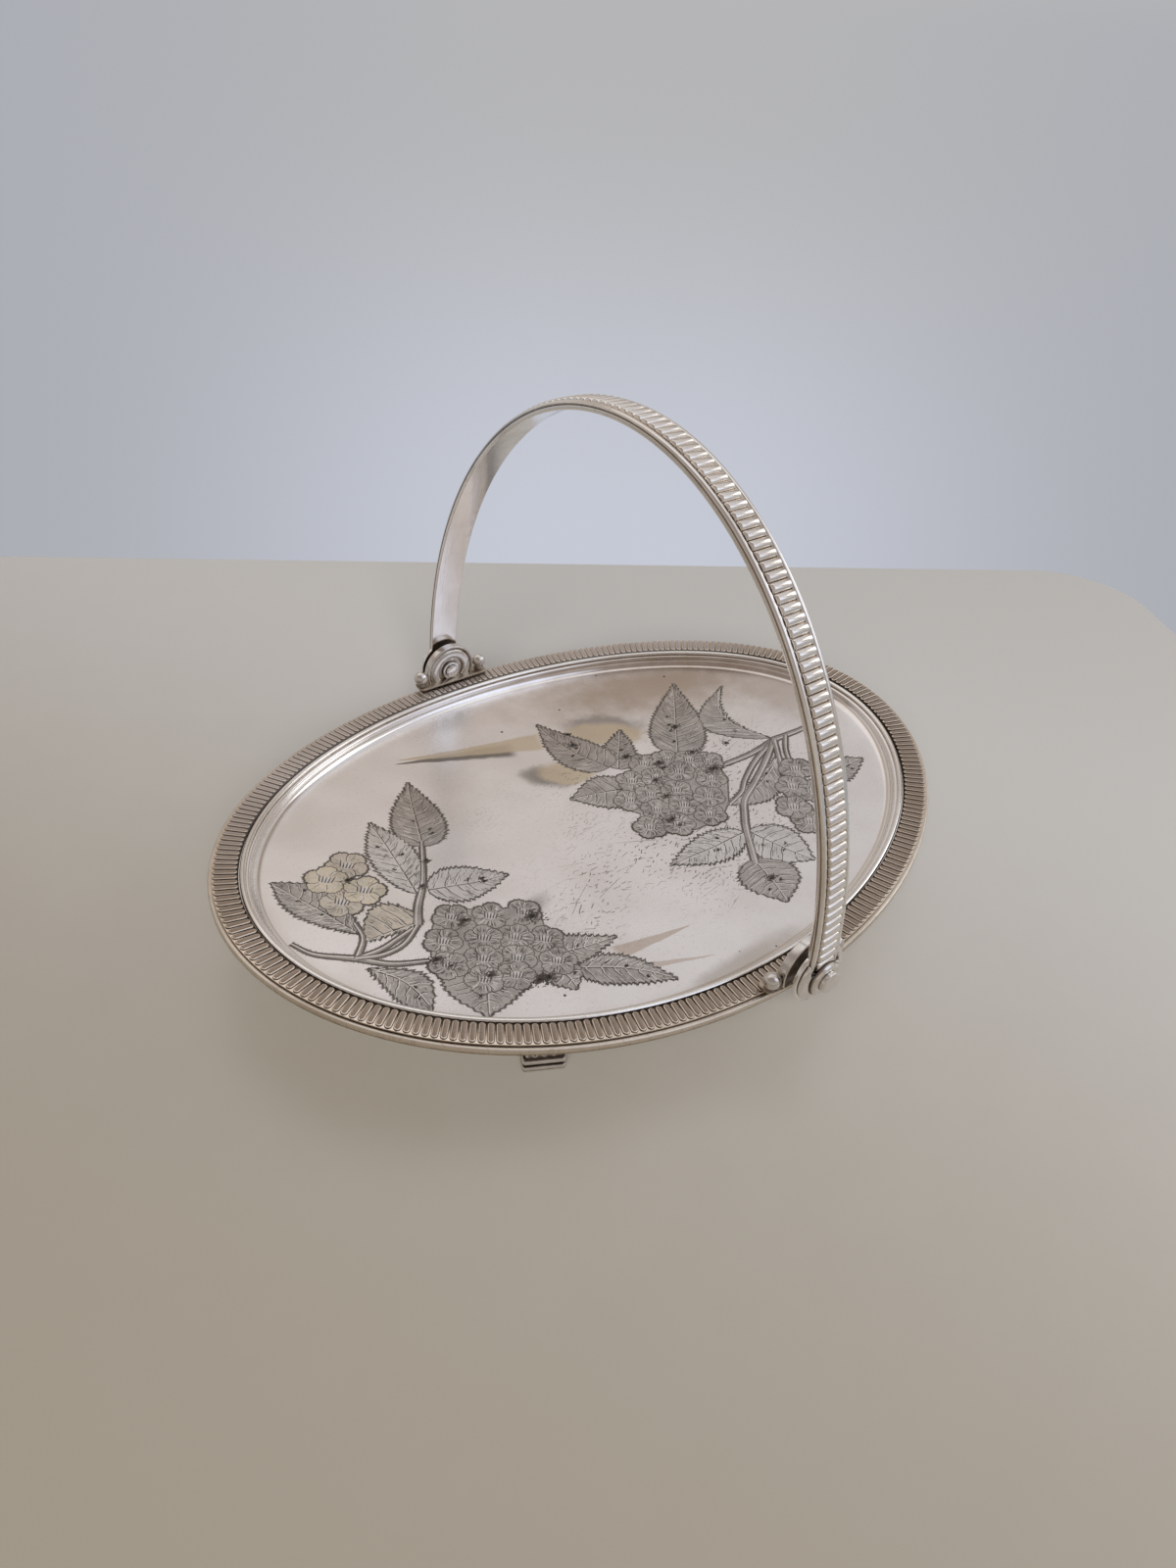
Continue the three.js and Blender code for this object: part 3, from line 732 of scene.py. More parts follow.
# The reeds' crests and bottoms are painted lighter and greyer toward the back
reeded = silver("reeded_silver", (0.92, 0.87, 0.81), 0.26, 0.3, 0.15, dirt_and_shade=reed_painted_shading,
                back_crest=(0.6, 0.6, 0.64))
barred = silver("barred_silver", (0.9, 0.87, 0.83), 0.15, 0.25, 0.15, dirt_and_shade=bar_painted_shade)
cast = silver("cast_silver", (0.71, 0.68, 0.645), 0.18, 0.35, 0.2, dirt_and_shade=cast_painted_shade)
hinge_plates = silver("hinge_plate_silver", (0.88, 0.85, 0.82), 0.13, 0.3, 0.3, dirt_and_shade=hinge_painted_shade)
feet = silver("foot_silver", (0.74, 0.71, 0.68), 0.12, 0.4, 0.2, dirt_and_shade=foot_dirt_and_shade)
soldered = silver("soldered_silver", (0.46, 0.39, 0.31), 0.3, 0.5, 0.2)

# The engraving's tones
etched_light = engraved_metal("etched_bright_silver", (0.82, 0.8, 0.78), 0.3, 0.3)
tones = {
    "ground": engraved_metal("etched_ground", (0.25, 0.225, 0.205), 0.45),
    "grey": engraved_metal("etched_silver", (0.58, 0.545, 0.515), 0.34),
    "brown": engraved_metal("etched_tarnished_silver", (0.76, 0.7, 0.6), 0.32),
    "gold": engraved_metal("etched_worn_silver", (0.86, 0.79, 0.64), 0.28),
    "light": etched_light,
    "shade": engraved_metal("engraved_shade", (0.42, 0.385, 0.355), 0.42),
    "dark": engraved_metal("engraved_line", (0.2, 0.175, 0.155), 0.5),
    "soft": etched_light,
    "bright": engraved_metal("bright_cut_line", (0.95, 0.92, 0.87), 0.22, 0.2),
}


# Tray

def tray_pan():
    """One sheet: a flat bent base, a coved wall, a rolled shoulder and the flange under the borders."""
    cove = (cove_inset, base_top + cove_radius)
    roll = (roll_inset, flange_top - roll_radius)
    top = arc(cove, cove_radius, 270, 180, 12) + arc(roll, roll_radius, 0, 90, 8)[1:]
    under = arc(cove, cove_radius + sheet, 204, 270, 10)
    section = top + [(flange_inset, flange_top), (flange_inset, flange_top - sheet)] + under
    wall = round_the_tray(section).transpose(1, 0, 2)
    shares = np.linspace(0, 1, 41)[1:-1]
    upper = [scaled_base(share, base_top) for share in shares]
    lower = [scaled_base(share, base_top - sheet) for share in shares[::-1]]
    pan = loft(np.concatenate([upper, wall, lower]), False)
    piece("tray_pan", pan, tray_silver, "basket", "polished_silver")


def scaled_base(share, height):
    """A ring on the base: the base's outline drawn in to this share."""
    x, y, _ = tray_point(round_angles(oval_steps), cove_inset, height).T * share
    return np.stack([x, y, rim_height + height + bend(x)], -1)


def rim_edge_wire():
    section = rounded_box(0, edge_wire_width, flange_top - edge_wire_height, flange_top, 0.7 * mm, 5)
    # Painted shade: darker from the top of the wire down
    down = (flange_top - section[:, 1]) / edge_wire_height
    rim_wire("rim_edge_wire", section, edge_silver, down)


def rim_bead_wire():
    section = half_round(bead_inner, bead_outer, band_bottom, bead_height)
    # Painted shade along the foot of the bead
    low = section[:, 1] < band_bottom + 0.35 * bead_height
    rim_wire("rim_bead_wire", section, mouldings, low * 0.9)


def rim_wire(name, section, material, grooves):
    """A plain wire of one section all the way round the tray."""
    wire = loft(round_the_tray(section), True)
    piece(name, wire, material, "basket", "polished_silver", np.tile(grooves, oval_steps))


def mirrored(stations):
    """Stations of (place, scale) from one end to the middle, and the same to the other end."""
    return stations + [(-place, scale) for place, scale in stations[::-1]]


def reed(half_length, half_width, height, lip):
    """One reed with round ends and a raised lip: points, faces, and how far each point is from its spine."""
    body = half_length - half_width
    ends = np.radians([90, 72, 54, 36, 18, 0])
    stations = mirrored([(-body - half_width * math.sin(t), max(math.cos(t), 0.02)) for t in ends])
    turns = np.linspace(0, math.pi, 15)
    level = np.array([(along, half_width * scale * math.cos(t)) for along, scale in stations for t in turns])
    past = np.maximum(np.abs(level[:, 0]) - body, 0)
    spine = np.clip(np.hypot(past, level[:, 1]) / half_width, 0, 1)
    over = height * np.sqrt(1 - spine ** 5) * (1 - lip + lip * np.exp(-((spine - 0.66) / 0.2) ** 2))
    return np.column_stack([level, over]), grid_faces(len(stations), len(turns)), spine


def even_angles(inset, count):
    """Angles of points at even distances along the oval at this inset."""
    fine = np.linspace(0, 2 * math.pi, 20001)
    travel = travel_along(tray_point(fine, inset, 0)[:, :2])
    return np.interp(np.linspace(0, travel[-1], count, endpoint=False), travel, fine)


def rim_reeded_band():
    """Radial half-round reeds with round ends on a thin plate."""
    section = rounded_box(band_outer, band_inner, band_bottom, band_plate_top, 0.15 * mm, 2)
    inset, height = section.T
    # Painted shade: the plate is dark under the reeds, a little lighter on its outer side
    outer_side = (inset < band_outer + 0.3 * mm) & (height > band_bottom + 0.2 * mm)
    parts = [loft(round_the_tray(section), True)]
    grooves = [np.tile(np.where(outer_side, 0.72, 1.0), oval_steps)]
    middle, half = (band_outer + band_inner) / 2, (band_inner - band_outer) / 2
    shape, faces, depth = reed(half - rim_reed_end, rim_reed_half_width, -band_plate_top, 0.22)
    for angle in even_angles(middle, rim_reeds):
        out = outward(angle)
        level = tray_point(angle, middle, 0)[:2] - shape[:, :1] * out + shape[:, 1:2] * quarter_turn(out)
        z = rim_height + band_plate_top + shape[:, 2] + bend(level[:, 0])
        parts.append((at_height(level, z), faces))
        grooves.append(depth)
    piece("rim_reeded_band", joined(parts), reeded, "basket", "reeded_silver", np.concatenate(grooves))


# Feet

def foot_outline(setback, flute):
    """A foot's outline, drawn in by the setback: long faces with half-round flutes, and round corners."""
    flutes, steps = 4, 8
    across = np.linspace(-0.5, 0.5, flutes * steps + 1)
    width, depth = foot_width - 2 * setback, foot_depth - 2 * setback
    hollow = flute * np.abs(np.sin(np.pi * flutes * (across + 0.5))) ** 0.6
    ease = np.clip((0.5 - np.abs(across)) * width / foot_corner, 0, 1)
    drop = foot_corner * (1 - np.sqrt(1 - (1 - ease) ** 2))
    face = np.column_stack([across * width, depth / 2 - hollow - drop])
    return np.concatenate([face, -face])


def cast_foot(name, signs):
    """A moulded base, a fluted neck and a collar that follows the tray."""
    out = outward(foot_angle) * signs
    side = -quarter_turn(out)
    middle = tray_point(foot_angle, foot_inset, 0)[:2] * signs
    rings, grooves = [], []
    for from_top, levels in ((False, foot_levels), (True, foot_top_levels)):
        for z, setback, flute in levels:
            outline, plain = (foot_outline(setback * mm, depth * mm) for depth in (flute, 0))
            level = middle + outline[:, :1] * side + outline[:, 1:] * out
            start = (rim_height + base_top - sheet - seam + bend(level[:, 0])) * from_top
            rings.append(at_height(level, start + z * mm))
            # Dirt and painted shade: dark recesses, flutes and bands by height
            if from_top or z > neck_start:
                recess = 0.9 if setback >= 0.4 and flute < 0.5 else 0.0
            else:
                recess = np.interp(z, foot_dirt_and_shade_heights, foot_dirt_and_shade_shares)
            cut = np.linalg.norm(outline - plain, axis=1) / (full_flute * mm)
            grooves.append(np.maximum(cut, recess))
    grooves = np.append(np.concatenate(grooves), [0, 0])
    piece(name, loft(rings, False), feet, "basket", "cast_silver", grooves, sharp=50)


# Hinges, at the back and turned round for the front

def stack(name):
    """A turned node's radius, and where it starts and ends along the hinge line, at the back."""
    low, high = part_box(f"{name}_back")
    return (high.x - low.x) / 2, low.y, high.y


def ear_outline(inner, outer):
    """A turned ear's outline and its painted shade: a raised ring, a groove, a domed ring and a recess
    inside.
    """
    lip, bevel = 0.4 * mm, 0.3 * mm
    face, hollow = inner + 0.1 * mm, inner + 0.4 * mm
    ring = arc((ear_radius - lip, face), lip, 0, -180, 8)
    groove = [(ear_radius - setback * mm, inner + depth * mm)
              for setback, depth in ((0.95, 0.3), (1.1, 0.5), (1.25, 0.3))]
    dome_start, dome_end = ear_radius - 1.4 * mm, ear_radius - 4.6 * mm
    middle, half = (dome_start + dome_end) / 2, (dome_start - dome_end) / 2
    turns = np.linspace(0, math.pi, 15)
    domed = [(middle + half * math.cos(t), face - 0.7 * mm * math.sin(t)) for t in turns]
    recess = [(dome_end - 0.1 * mm, hollow), (bore_radius, hollow)]
    back = [(bore_radius, outer), (ear_radius - bevel, outer), (ear_radius, outer - bevel)]
    # Painted shade: darker in the groove and the recess, darkest on the outer face
    dirt_and_shade = [0.1] * len(ring) + [0.8, 0.9, 0.8, 0.7] + [0.1] * (len(domed) - 2)
    dirt_and_shade += [0.7, 0.8, 0.8, 0.95, 0.95, 0.3]
    return ring + groove + domed + recess + back, dirt_and_shade


def hinge_brackets():
    """A round ear that stands in a flat pad and is cut off level inside it."""
    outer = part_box("hinge_spacer_back")[0].y - seam
    outline, dirt_and_shade = ear_outline(outer - ear_thickness, outer)
    points, faces = turned(outline)
    dirt_and_shade_shares = np.tile(dirt_and_shade, turned_sides)
    for place, spot in ends(points):
        ear = piece(f"hinge_bracket_{place}", (spot, faces), cast, "basket", "cast_silver", dirt_and_shade_shares)
        cut_below(ear, pad_low.z + 0.1 * mm)
        make(f"silver_bracket_pad_{place}", bracket_pad(place), soldered, "basket", "cast_silver")


def bracket_pad(place):
    """The flat bar that the ear and the two balls stand on."""
    half, sign = pad_high.x, 1 if place == "back" else -1
    inner, outer = rim_half_width - 4.3 * mm, rim_half_width + 0.4 * mm
    bottom, top = pad_low.z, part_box("bracket_ball_back_left")[0].z - seam
    outline = rounded_box(-half, half, inner, outer, 1.6 * mm, 6)
    middle = np.array([0, (inner + outer) / 2])
    levels = [(bottom, 0.15), (bottom + 0.15 * mm, 0)]
    levels += [(top - 0.2 * mm, 0), (top - 0.05 * mm, 0.1), (top, 0.3)]
    rings = []
    for z, shrink in levels:
        scale = 1 - shrink * mm / np.array([half, (outer - inner) / 2])
        rings.append(at_height(((outline - middle) * scale + middle) * (1, sign), z))
    return loft(rings, False)


def bracket_ball(name):
    """A ball finial on a short waisted neck."""
    low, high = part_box(name)
    centre, radius = (low + high) / 2, (high.x - low.x) / 2
    bottom = low.z - seam
    outline = arc((0, centre.z), radius, 84, -54, 23)
    outline += [(1.25 * mm, centre.z - radius * 0.86), (1.3 * mm, bottom + 0.45 * mm)]
    outline += [(1.7 * mm, bottom + 0.1 * mm), (1.8 * mm, bottom)]
    turns = round_angles(48)
    points, faces = loft([at_height(np.array(centre.xy) + r * heading(turns), z) for r, z in outline], False)
    points[-2] = (centre.x, centre.y, centre.z + radius)
    # Painted shade: the ball darkens from a little below its middle down to the neck
    grooves = np.clip((centre.z - 0.35 * radius - points[:, 2]) / (0.6 * radius), 0, 1)
    piece(name, (points, faces), cast, "basket", "cast_silver", grooves)


def plain_washers(name):
    radius, start, end = stack(name)
    section = rounded_box(bore_radius, radius, start, end, 0.12 * mm, 2)
    both_ends(name, turned(section), cast, "basket", "rivet_silver")


def rivet_cones():
    radius, start, end = stack("rivet_cone")
    foot = start - seam + join
    slope = [(radius - 0.1 * mm, start + 0.3 * mm), (radius - 0.9 * mm, end)]
    outline = rounded([(bore_radius, foot), (radius, foot), *slope, (bore_radius, end)], 0.35 * mm, 5)
    # Painted shade: the cone darkens toward its foot
    dirt_and_shade_shares = np.interp(outline[:, 1], [foot, foot + 0.6 * mm, end - 0.2 * mm], [1.0, 0.8, 0.1])
    dirt_and_shade_shares = np.tile(dirt_and_shade_shares, turned_sides)
    both_ends("rivet_cone", turned(outline), hinge_plates, "handle", "rivet_silver", dirt_and_shade_shares)


def rivets():
    """A shank with a low domed head outside and a flared tail inside."""
    radius, start, end = stack("hinge_rivet")
    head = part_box("rivet_cone_back")[1].y + 0.1 * mm
    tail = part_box("inner_washer_back")[0].y - seam
    tip, edge = 0.001 * mm, 0.3 * mm
    top = [(r, end - 0.25 * mm * (r / radius) ** 4) for r in np.linspace(tip, radius - edge, 8)]
    corner = arc((radius - edge, end - 0.55 * mm), edge, 60, 0, 4)
    shank = [(radius, head), (shank_radius, head), (shank_radius, tail), (bore_radius, tail)]
    foot = [(r, start + 0.3 * mm * (r / bore_radius) ** 2) for r in np.linspace(bore_radius, tip, 8)]
    both_ends("hinge_rivet", turned(top + corner + shank + foot), polished, "basket", "rivet_silver")


def rosettes():
    """Round plates on the strap's outer face, cut away where the reeds come down."""
    radius, start, end = stack("hinge_rosette")
    foot = start - seam + join
    flat = 4.4 * mm
    edge = foot + 0.2 * mm
    dome = [(flat + (radius - flat) * math.cos(t), edge + (end - edge) * math.sin(t))
            for t in np.linspace(0, math.pi / 2, 13)]
    outline = np.array([(bore_radius, foot), (radius, foot)] + dome + [(bore_radius, end)])
    cone_radius = stack("rivet_cone")[0]
    # Painted shade: darker next to the cone and next to the strap
    near_cone = np.interp(outline[:, 0], [cone_radius, cone_radius + 0.8 * mm], [1.0, 0.0])
    near_strap = np.interp(outline[:, 1], [edge, foot + 0.5 * mm], [0.9, 0.0])
    grooves = np.tile(np.maximum(near_cone, near_strap), turned_sides)
    half, far = strap_half_width + seam, 1.0
    plate = turned(outline)
    for made in both_ends("hinge_rosette", plate, hinge_plates, "handle", "polished_silver", grooves):
        take_away(made, (-half, -far, hinge.z + ornament_start - seam), (half, far, far))


# Handle

def handle_strap():
    """The flat strap, arched, with round ends about the hinge line."""
    last = math.pi - math.asin(strap_half_width / eye_radius)
    turns = np.linspace(math.radians(4), last, 30)
    eye = [(-eye_radius * math.cos(t), eye_radius * math.sin(t)) for t in turns]
    start = eye[-1][0]
    run = np.linspace(start, arch_length - start, arch_steps)[1:-1]
    far_eye = [(arch_length - along, reach) for along, reach in eye[::-1]]
    rings = []
    for along, reach in eye + [(along, strap_half_width) for along in run] + far_eye:
        across, over = rounded_box(-reach, reach, 0, strap_thickness, 0.22 * mm, 3).T
        rings.append(handle_point(along, across, over))
    strap = piece("handle_strap", loft(rings, False), polished, "handle", "polished_silver")
    cut_with(strap, turned_post(bore_radius, rim_half_width + 20 * mm))
    finish_mesh(strap, 40)


def handle_mouldings():
    for side, sign in (("left", -1), ("right", 1)):
        outer = sign * (strap_half_width - moulding_setback)
        section = half_round(outer - sign * moulding_width, outer, ornament_base, moulding_height)
        # Painted reflection and shade: darker from the crest down to the foot
        low = 1.05 - (section[:, 1] - ornament_base) / moulding_height
        grooves = np.append(np.tile(low, arch_steps), [0.5, 0.5])
        name = f"handle_moulding_{side}"
        piece(name, strip_shape(section), mouldings, "handle", "polished_silver", grooves)


def cross_bar(half_length, half_width, height, corner):
    """One cross bar of the handle: half-round, with quickly rounded ends, and how low each point lies."""
    ends = np.radians([90, 75, 60, 45, 30, 15, 0])
    stations = [(corner * (1 - math.sin(t)) - half_length, max(math.cos(t), 0.05) ** 0.6) for t in ends]
    points, low = [], []
    turns = np.linspace(0, math.pi, 17)
    for along, scale in mirrored(stations):
        for t in turns:
            across = half_width * (0.75 + 0.25 * scale) * math.cos(t)
            points.append((along, across, height * scale * math.sin(t) ** 0.9))
            low.append(1 - scale * math.sin(t))
    return np.array(points), grid_faces(2 * len(stations), len(turns)), low


def handle_reeded_band():
    """Cross bars on a thin plate along the middle of the strap."""
    top = ornament_base + handle_band_plate
    plate = strip_shape(rounded_box(-handle_band_half, handle_band_half, ornament_base, top, 0.2 * mm, 2))
    run = arch_length - 2 * ornament_start
    count = round(run / cross_bar_pitch)
    length = handle_band_half - 0.03 * mm
    shape, faces, depth = cross_bar(length, cross_bar_half_width, cross_bar_height, 0.45 * mm)
    # Painted shade on the plate and down the bars' sides
    parts, grooves = [plate], [np.full(len(plate[0]), 0.8)]
    for i in range(count):
        middle = ornament_start + run * (i + 0.5) / count
        parts.append((handle_point(middle + shape[:, 1], shape[:, 0], top + shape[:, 2]), faces))
        grooves.append(depth)
    piece("handle_reeded_band", joined(parts), barred, "handle", "reeded_silver", np.concatenate(grooves))


# Engraving: two sprays of blossom and leaves, drawn in millimetres on the tray's base

# Over the base: the whole, each layer over the last, the layer of the ground, and how thick a shape is
lift = 0.012 * mm
layer_step = 0.0004 * mm
ground_layer = -5
shape_thickness = 0.03 * mm

# Which lines of one shape cover which, and the tones of the cuts on a leaf's two sides and on petals
line_layers = {"shade": 1, "dark": 2, "soft": 3, "bright": 4}
hatching = {1: ["soft", "shade", "bright", "dark", "soft"], -1: ["shade", "dark", "soft", "shade", "dark"]}
petal_cuts = {"grey": ["shade", "soft", "dark", "dark", "shade"], "brown": ["shade", "soft", "shade"],
              "gold": ["shade", "soft", "soft"]}


class Engraving:
    """Flat shapes and lines by tone, where each new shape covers the lines of those drawn before it."""

    def __init__(self):
        self.tones = {}
        self.shapes = 0
        self.chance = random.Random(5)

    def start_shape(self):
        self.shapes += 1

    def random(self, low, high):
        return self.chance.uniform(low, high)

    def add(self, tone, points, faces):
        layer = self.shapes * (len(line_layers) + 1) + line_layers.get(tone, 0)
        if tone == "ground":
            layer = ground_layer + 0.1 * self.shapes
        x, y = points.T * mm
        z = rim_height + base_top + bend(x) + lift + layer_step * layer
        self.tones.setdefault(tone, []).append((np.stack([x, y, z], -1), faces))

    def fill(self, tone, left, right, strips):
        """A flat shape between two edges, in strips narrow enough to follow the tray's bend."""
        shares = np.linspace(0, 1, strips)[:, None, None]
        rows = left * (1 - shares) + right * shares
        self.add(tone, rows.reshape(-1, 2), grid_faces(strips, len(left)))

    def line(self, tone, points, widths):
        """A flat band along a line, as a ladder of quads."""
        points = np.array(points, float)
        half = np.broadcast_to(widths, len(points))[:, None] / 2
        side = sideways(points) * half
        self.add(tone, np.concatenate([points + side, points - side]), grid_faces(2, len(points)))

    def stroke(self, tone, start, end, width):
        self.line(tone, np.linspace(start, end, 3), [width, width, width * 0.4])

    def build(self, name):
        for tone, parts in self.tones.items():
            obj = make(f"{name}_{tone}", joined(parts), tones[tone], "basket", "polished_silver", sharp=None)
            thick = obj.modifiers.new("thickness", "SOLIDIFY")
            thick.thickness = shape_thickness
            thick.offset = -1.0


def sideways(line):
    """Directions square to a line, on its left."""
    return quarter_turn(unit(np.gradient(line, axis=0)))


def curve_through(points, steps=14):
    """A smooth line through a few points."""
    points = [np.array(p, float) for p in points]
    padded = [2 * points[0] - points[1]] + points + [2 * points[-1] - points[-2]]
    out = []
    for a, b, c, d in zip(padded, padded[1:], padded[2:], padded[3:]):
        for t in np.linspace(0, 1, steps, endpoint=False):
            out.append(0.5 * (2 * b + (c - a) * t + (2 * a - 5 * b + 4 * c - d) * t ** 2
                              + (3 * b - a - 3 * c + d) * t ** 3))
    return np.array(out + [points[-1]])


def wavy(line, size, waves, phase):
    """The line with a slight shake across it, none at its ends."""
    t = np.linspace(0, 1, len(line))
    shake = size * np.sin(np.pi * t) ** 0.5 * np.sin(2 * np.pi * waves * t + phase)
    return line + sideways(line) * shake[:, None]


def fringe(art, edge, outwards, spacing):
    """Short dark strokes that stand out from an edge, as the graver leaves them."""
    travel = travel_along(edge)
    for along in np.arange(0, travel[-1], spacing):
        along += art.random(-0.15, 0.15)
        foot, way = (np.array([np.interp(along, travel, row) for row in line.T]) for line in (edge, outwards))
        reach = art.random(0.35, 0.95)
        lean = quarter_turn(way) * art.random(-0.4, 0.4)
        art.stroke("ground", foot, foot + (way + lean) * reach, 0.2)


def smudge(art, spot, radius):
    """A dark fuzzy spot made of short strokes, close together in the middle."""
    for _ in range(round(22 * radius ** 2) + 14):
        away = radius * art.chance.gauss(0, 0.62)
        start = spot + away * heading(art.random(0, 2 * math.pi)) * (1.25, 0.8)
        step = heading(art.random(-0.5, 0.9)) * art.random(0.4, 1.1)
        art.stroke("dark", start, start + step, art.random(0.15, 0.36))


def toothed(art, length, steps):
    """How far the teeth stand out along a leaf's edge: uneven teeth that point at the tip."""
    travel = np.linspace(0, length, steps)
    ends = [0.0]
    while ends[-1] < length:
        ends.append(ends[-1] + art.random(1.1, 2.4))
    which = np.searchsorted(ends, travel, side="right") - 1
    ends = np.array(ends + [ends[-1] + 1])
    share = (travel - ends[which]) / (ends[which + 1] - ends[which])
    heights = np.array([art.random(0.7, 1.4) for _ in ends])
    return heights[which] * share ** 1.3


def engraved_leaf(art, base, tip, left, right, curl, fullness, tone="grey"):
    """A toothed leaf with its reach to either side, its midrib, wavy veins and fine hatching."""
    span = np.subtract(tip, base)
    length = np.linalg.norm(span)
    ahead, side = span / length, quarter_turn(span / length)
    steps = 161
    t = np.linspace(0, 1, steps)
    middle = base + t[:, None] * span + (curl * length * np.sin(np.pi * t))[:, None] * side
    shape = np.sin(np.pi * t ** fullness) ** (0.75 + 0.35 * t ** 2)
    ease = np.clip(np.minimum(t * 12, (1 - t) * 14), 0, 1)
    art.start_shape()
    edges = {}
    for sign, reach in ((1, left), (-1, right)):
        half = np.maximum(reach * shape + (toothed(art, length * 1.15, steps) - 0.6) * ease, 0.1)[:, None]
        edges[sign] = middle + sign * half * side
        art.fill("ground", middle, middle + sign * (half + 0.5) * side, 7)
        fringe(art, edges[sign], np.tile(sign * (side + 0.35 * ahead), (steps, 1)), 0.34)
    art.fill(tone, edges[1], edges[-1], 13)
    for edge in edges.values():
        art.line("dark", edge * 0.99 + middle * 0.01, 0.26)

    for sign, edge in edges.items():
        leaf_hatching(art, middle, edge, length, hatching[sign])
        leaf_veins(art, middle, edge, length, ahead)
    art.line("dark", wavy(middle[:-8], 0.12, 1.5, length), np.linspace(0.46, 0.2, steps - 8))
    art.line("bright", middle[6:-14] + side * 0.34, 0.2)
    for _ in range(round(length / 9)):
        place = art.random(0.15, 0.75)
        aside = art.random(-0.45, 0.45)
        smudge(art, middle[int(place * steps)] + aside * (left if aside > 0 else right) * side, 0.6)


def leaf_hatching(art, middle, edge, length, cuts):
    """Fine cuts, close together and in line with the veins, on one side of a leaf."""
    for start in np.arange(0.02, 0.92, 0.62 / length):
        first = art.random(0.05, 0.75)
        last = min(first + art.random(0.2, 0.45), 0.99)
        line = vein_line(art, middle, edge, start, first, last, 0.08)
        width = art.random(0.16, 0.32)
        art.line(art.chance.choice(cuts), line, np.linspace(width, width * 0.5, len(line)))


def leaf_veins(art, middle, edge, length, ahead):
    """Dark wavy veins on one side of a leaf, each with a bright line before it."""
    count = max(4, round(length / 4.2))
    for k in range(count):
        start = max(0.03, 0.07 + 0.8 * (k + art.random(-0.15, 0.15)) / count)
        line = vein_line(art, middle, edge, start, 0.0, 1.0, 0.25)
        art.line("dark", line, np.linspace(0.36, 0.18, len(line)))
        art.line("bright", line + 0.3 * ahead, np.linspace(0.2, 0.12, len(line)))


def vein_line(art, middle, edge, start, first, last, shake):
    """Part of a vein from the midrib towards the edge, with a slight shake."""
    share = np.linspace(first, last, 7)
    places = np.clip((start + 0.16 * share ** 1.3) * (len(middle) - 1), 0, len(middle) - 2).astype(int)
    share = 0.95 * share[:, None]
    line = middle[places] * (1 - share) + edge[places] * share
    return wavy(line, shake, art.random(0.8, 1.6), art.random(0, 6))


def engraved_blossom(art, centre, radius, turn, tone):
    """A five-petalled blossom: petals parted by light and dark lines, each hatched with short cuts."""
    a = np.linspace(0, 2 * math.pi, 121)
    lobe = np.abs(np.cos(2.5 * (a - turn)))
    crinkle = 0.02 * np.sin(23 * a + turn) + 0.015 * np.sin(37 * a)
    reach = (radius * (0.76 + 0.24 * lobe ** 0.5 + crinkle))[:, None]
    spread = heading(a)
    rim = reach * spread
    art.start_shape()
    art.fill("ground", centre + rim * 0.02, centre + (reach + 0.45) * spread, 6)
    fringe(art, centre + rim, spread, 0.42)
    art.fill(tone, centre + rim * 0.02, centre + rim, 6)
    art.line("dark", centre + rim * 0.985, 0.3)
    for k in range(5):
        petal = turn + k * 2 * math.pi / 5
        way = heading(petal + math.pi / 5) * radius
        bent = quarter_turn(way) * 0.06
        line = curve_through([centre + way * 0.3, centre + way * 0.55 + bent, centre + way * 0.8], 5)
        art.line("bright", line, np.linspace(0.08, 0.2, 11))
        art.line("dark", line + bent * 0.8, np.linspace(0.14, 0.34, 11))
        for offset in np.linspace(-0.52, 0.52, 12 if tone == "grey" else 6):
            way = heading(petal + offset + art.random(-0.05, 0.05)) * radius
            start, end = art.random(0.35, 0.6), art.random(0.65, 0.92)
            cut = art.chance.choice(petal_cuts[tone])
            art.stroke(cut, centre + way * start, centre + way * end, art.random(0.18, 0.34))


def blossoms(art, places, radius, tone="grey"):
    """Blossoms at (x, y, turn), each over the one before, with all their hearts on top, on bright spots."""
    for x, y, turn in places:
        engraved_blossom(art, np.array([x, y]), radius, turn, tone)
    spread = heading(np.linspace(0, 2 * math.pi, 25)) * radius
    art.start_shape()
    for x, y, _ in places:
        art.fill("soft", (x, y) + 0.02 * spread, (x, y) + 0.27 * spread, 3)
    art.start_shape()
    for x, y, _ in places:
        heart(art, np.array([x, y]), radius)


def heart(art, centre, radius):
    """Five short dark cuts side by side, fanned a little."""
    up, along = np.array([0.65, 0.76]), np.array([0.76, -0.65])
    for share in np.linspace(-1, 1, 5):
        foot = centre + along * share * radius * 0.27 - up * radius * 0.2 * (1 - 0.3 * share ** 2)
        way = up + along * share * 0.2
        art.stroke("dark", foot, foot + way * radius * art.random(0.38, 0.5), 0.38)


def engraved_stem(art, start_width, end_width, *points):
    """A tapering stem with dark edges and a bright line along it."""
    line = curve_through(points)
    widths = np.linspace(start_width, end_width, len(line))
    side = sideways(line)
    art.start_shape()
    art.line("ground", line, widths + 0.9)
    art.line("grey", line, widths)
    for out in (-side, side):
        fringe(art, line + out * widths[:, None] / 2, out, 0.5)
        art.line("dark", line + out * (widths[:, None] / 2 - 0.05), 0.28)
    art.line("bright", line + side * widths[:, None] * 0.16, 0.26)
    art.line("shade", line - side * widths[:, None] * 0.2, 0.26)


def cluster_ground(art, middle, *outline):
    """Grey ground under a cluster of blossoms, so that it has no gaps."""
    art.start_shape()
    spread = 0.86 * np.subtract(outline + outline[:1], middle)
    middle = np.tile(middle, (len(spread), 1))
    art.fill("ground", middle, middle + spread * 1.03, 7)
    art.fill("grey", middle, middle + spread, 7)


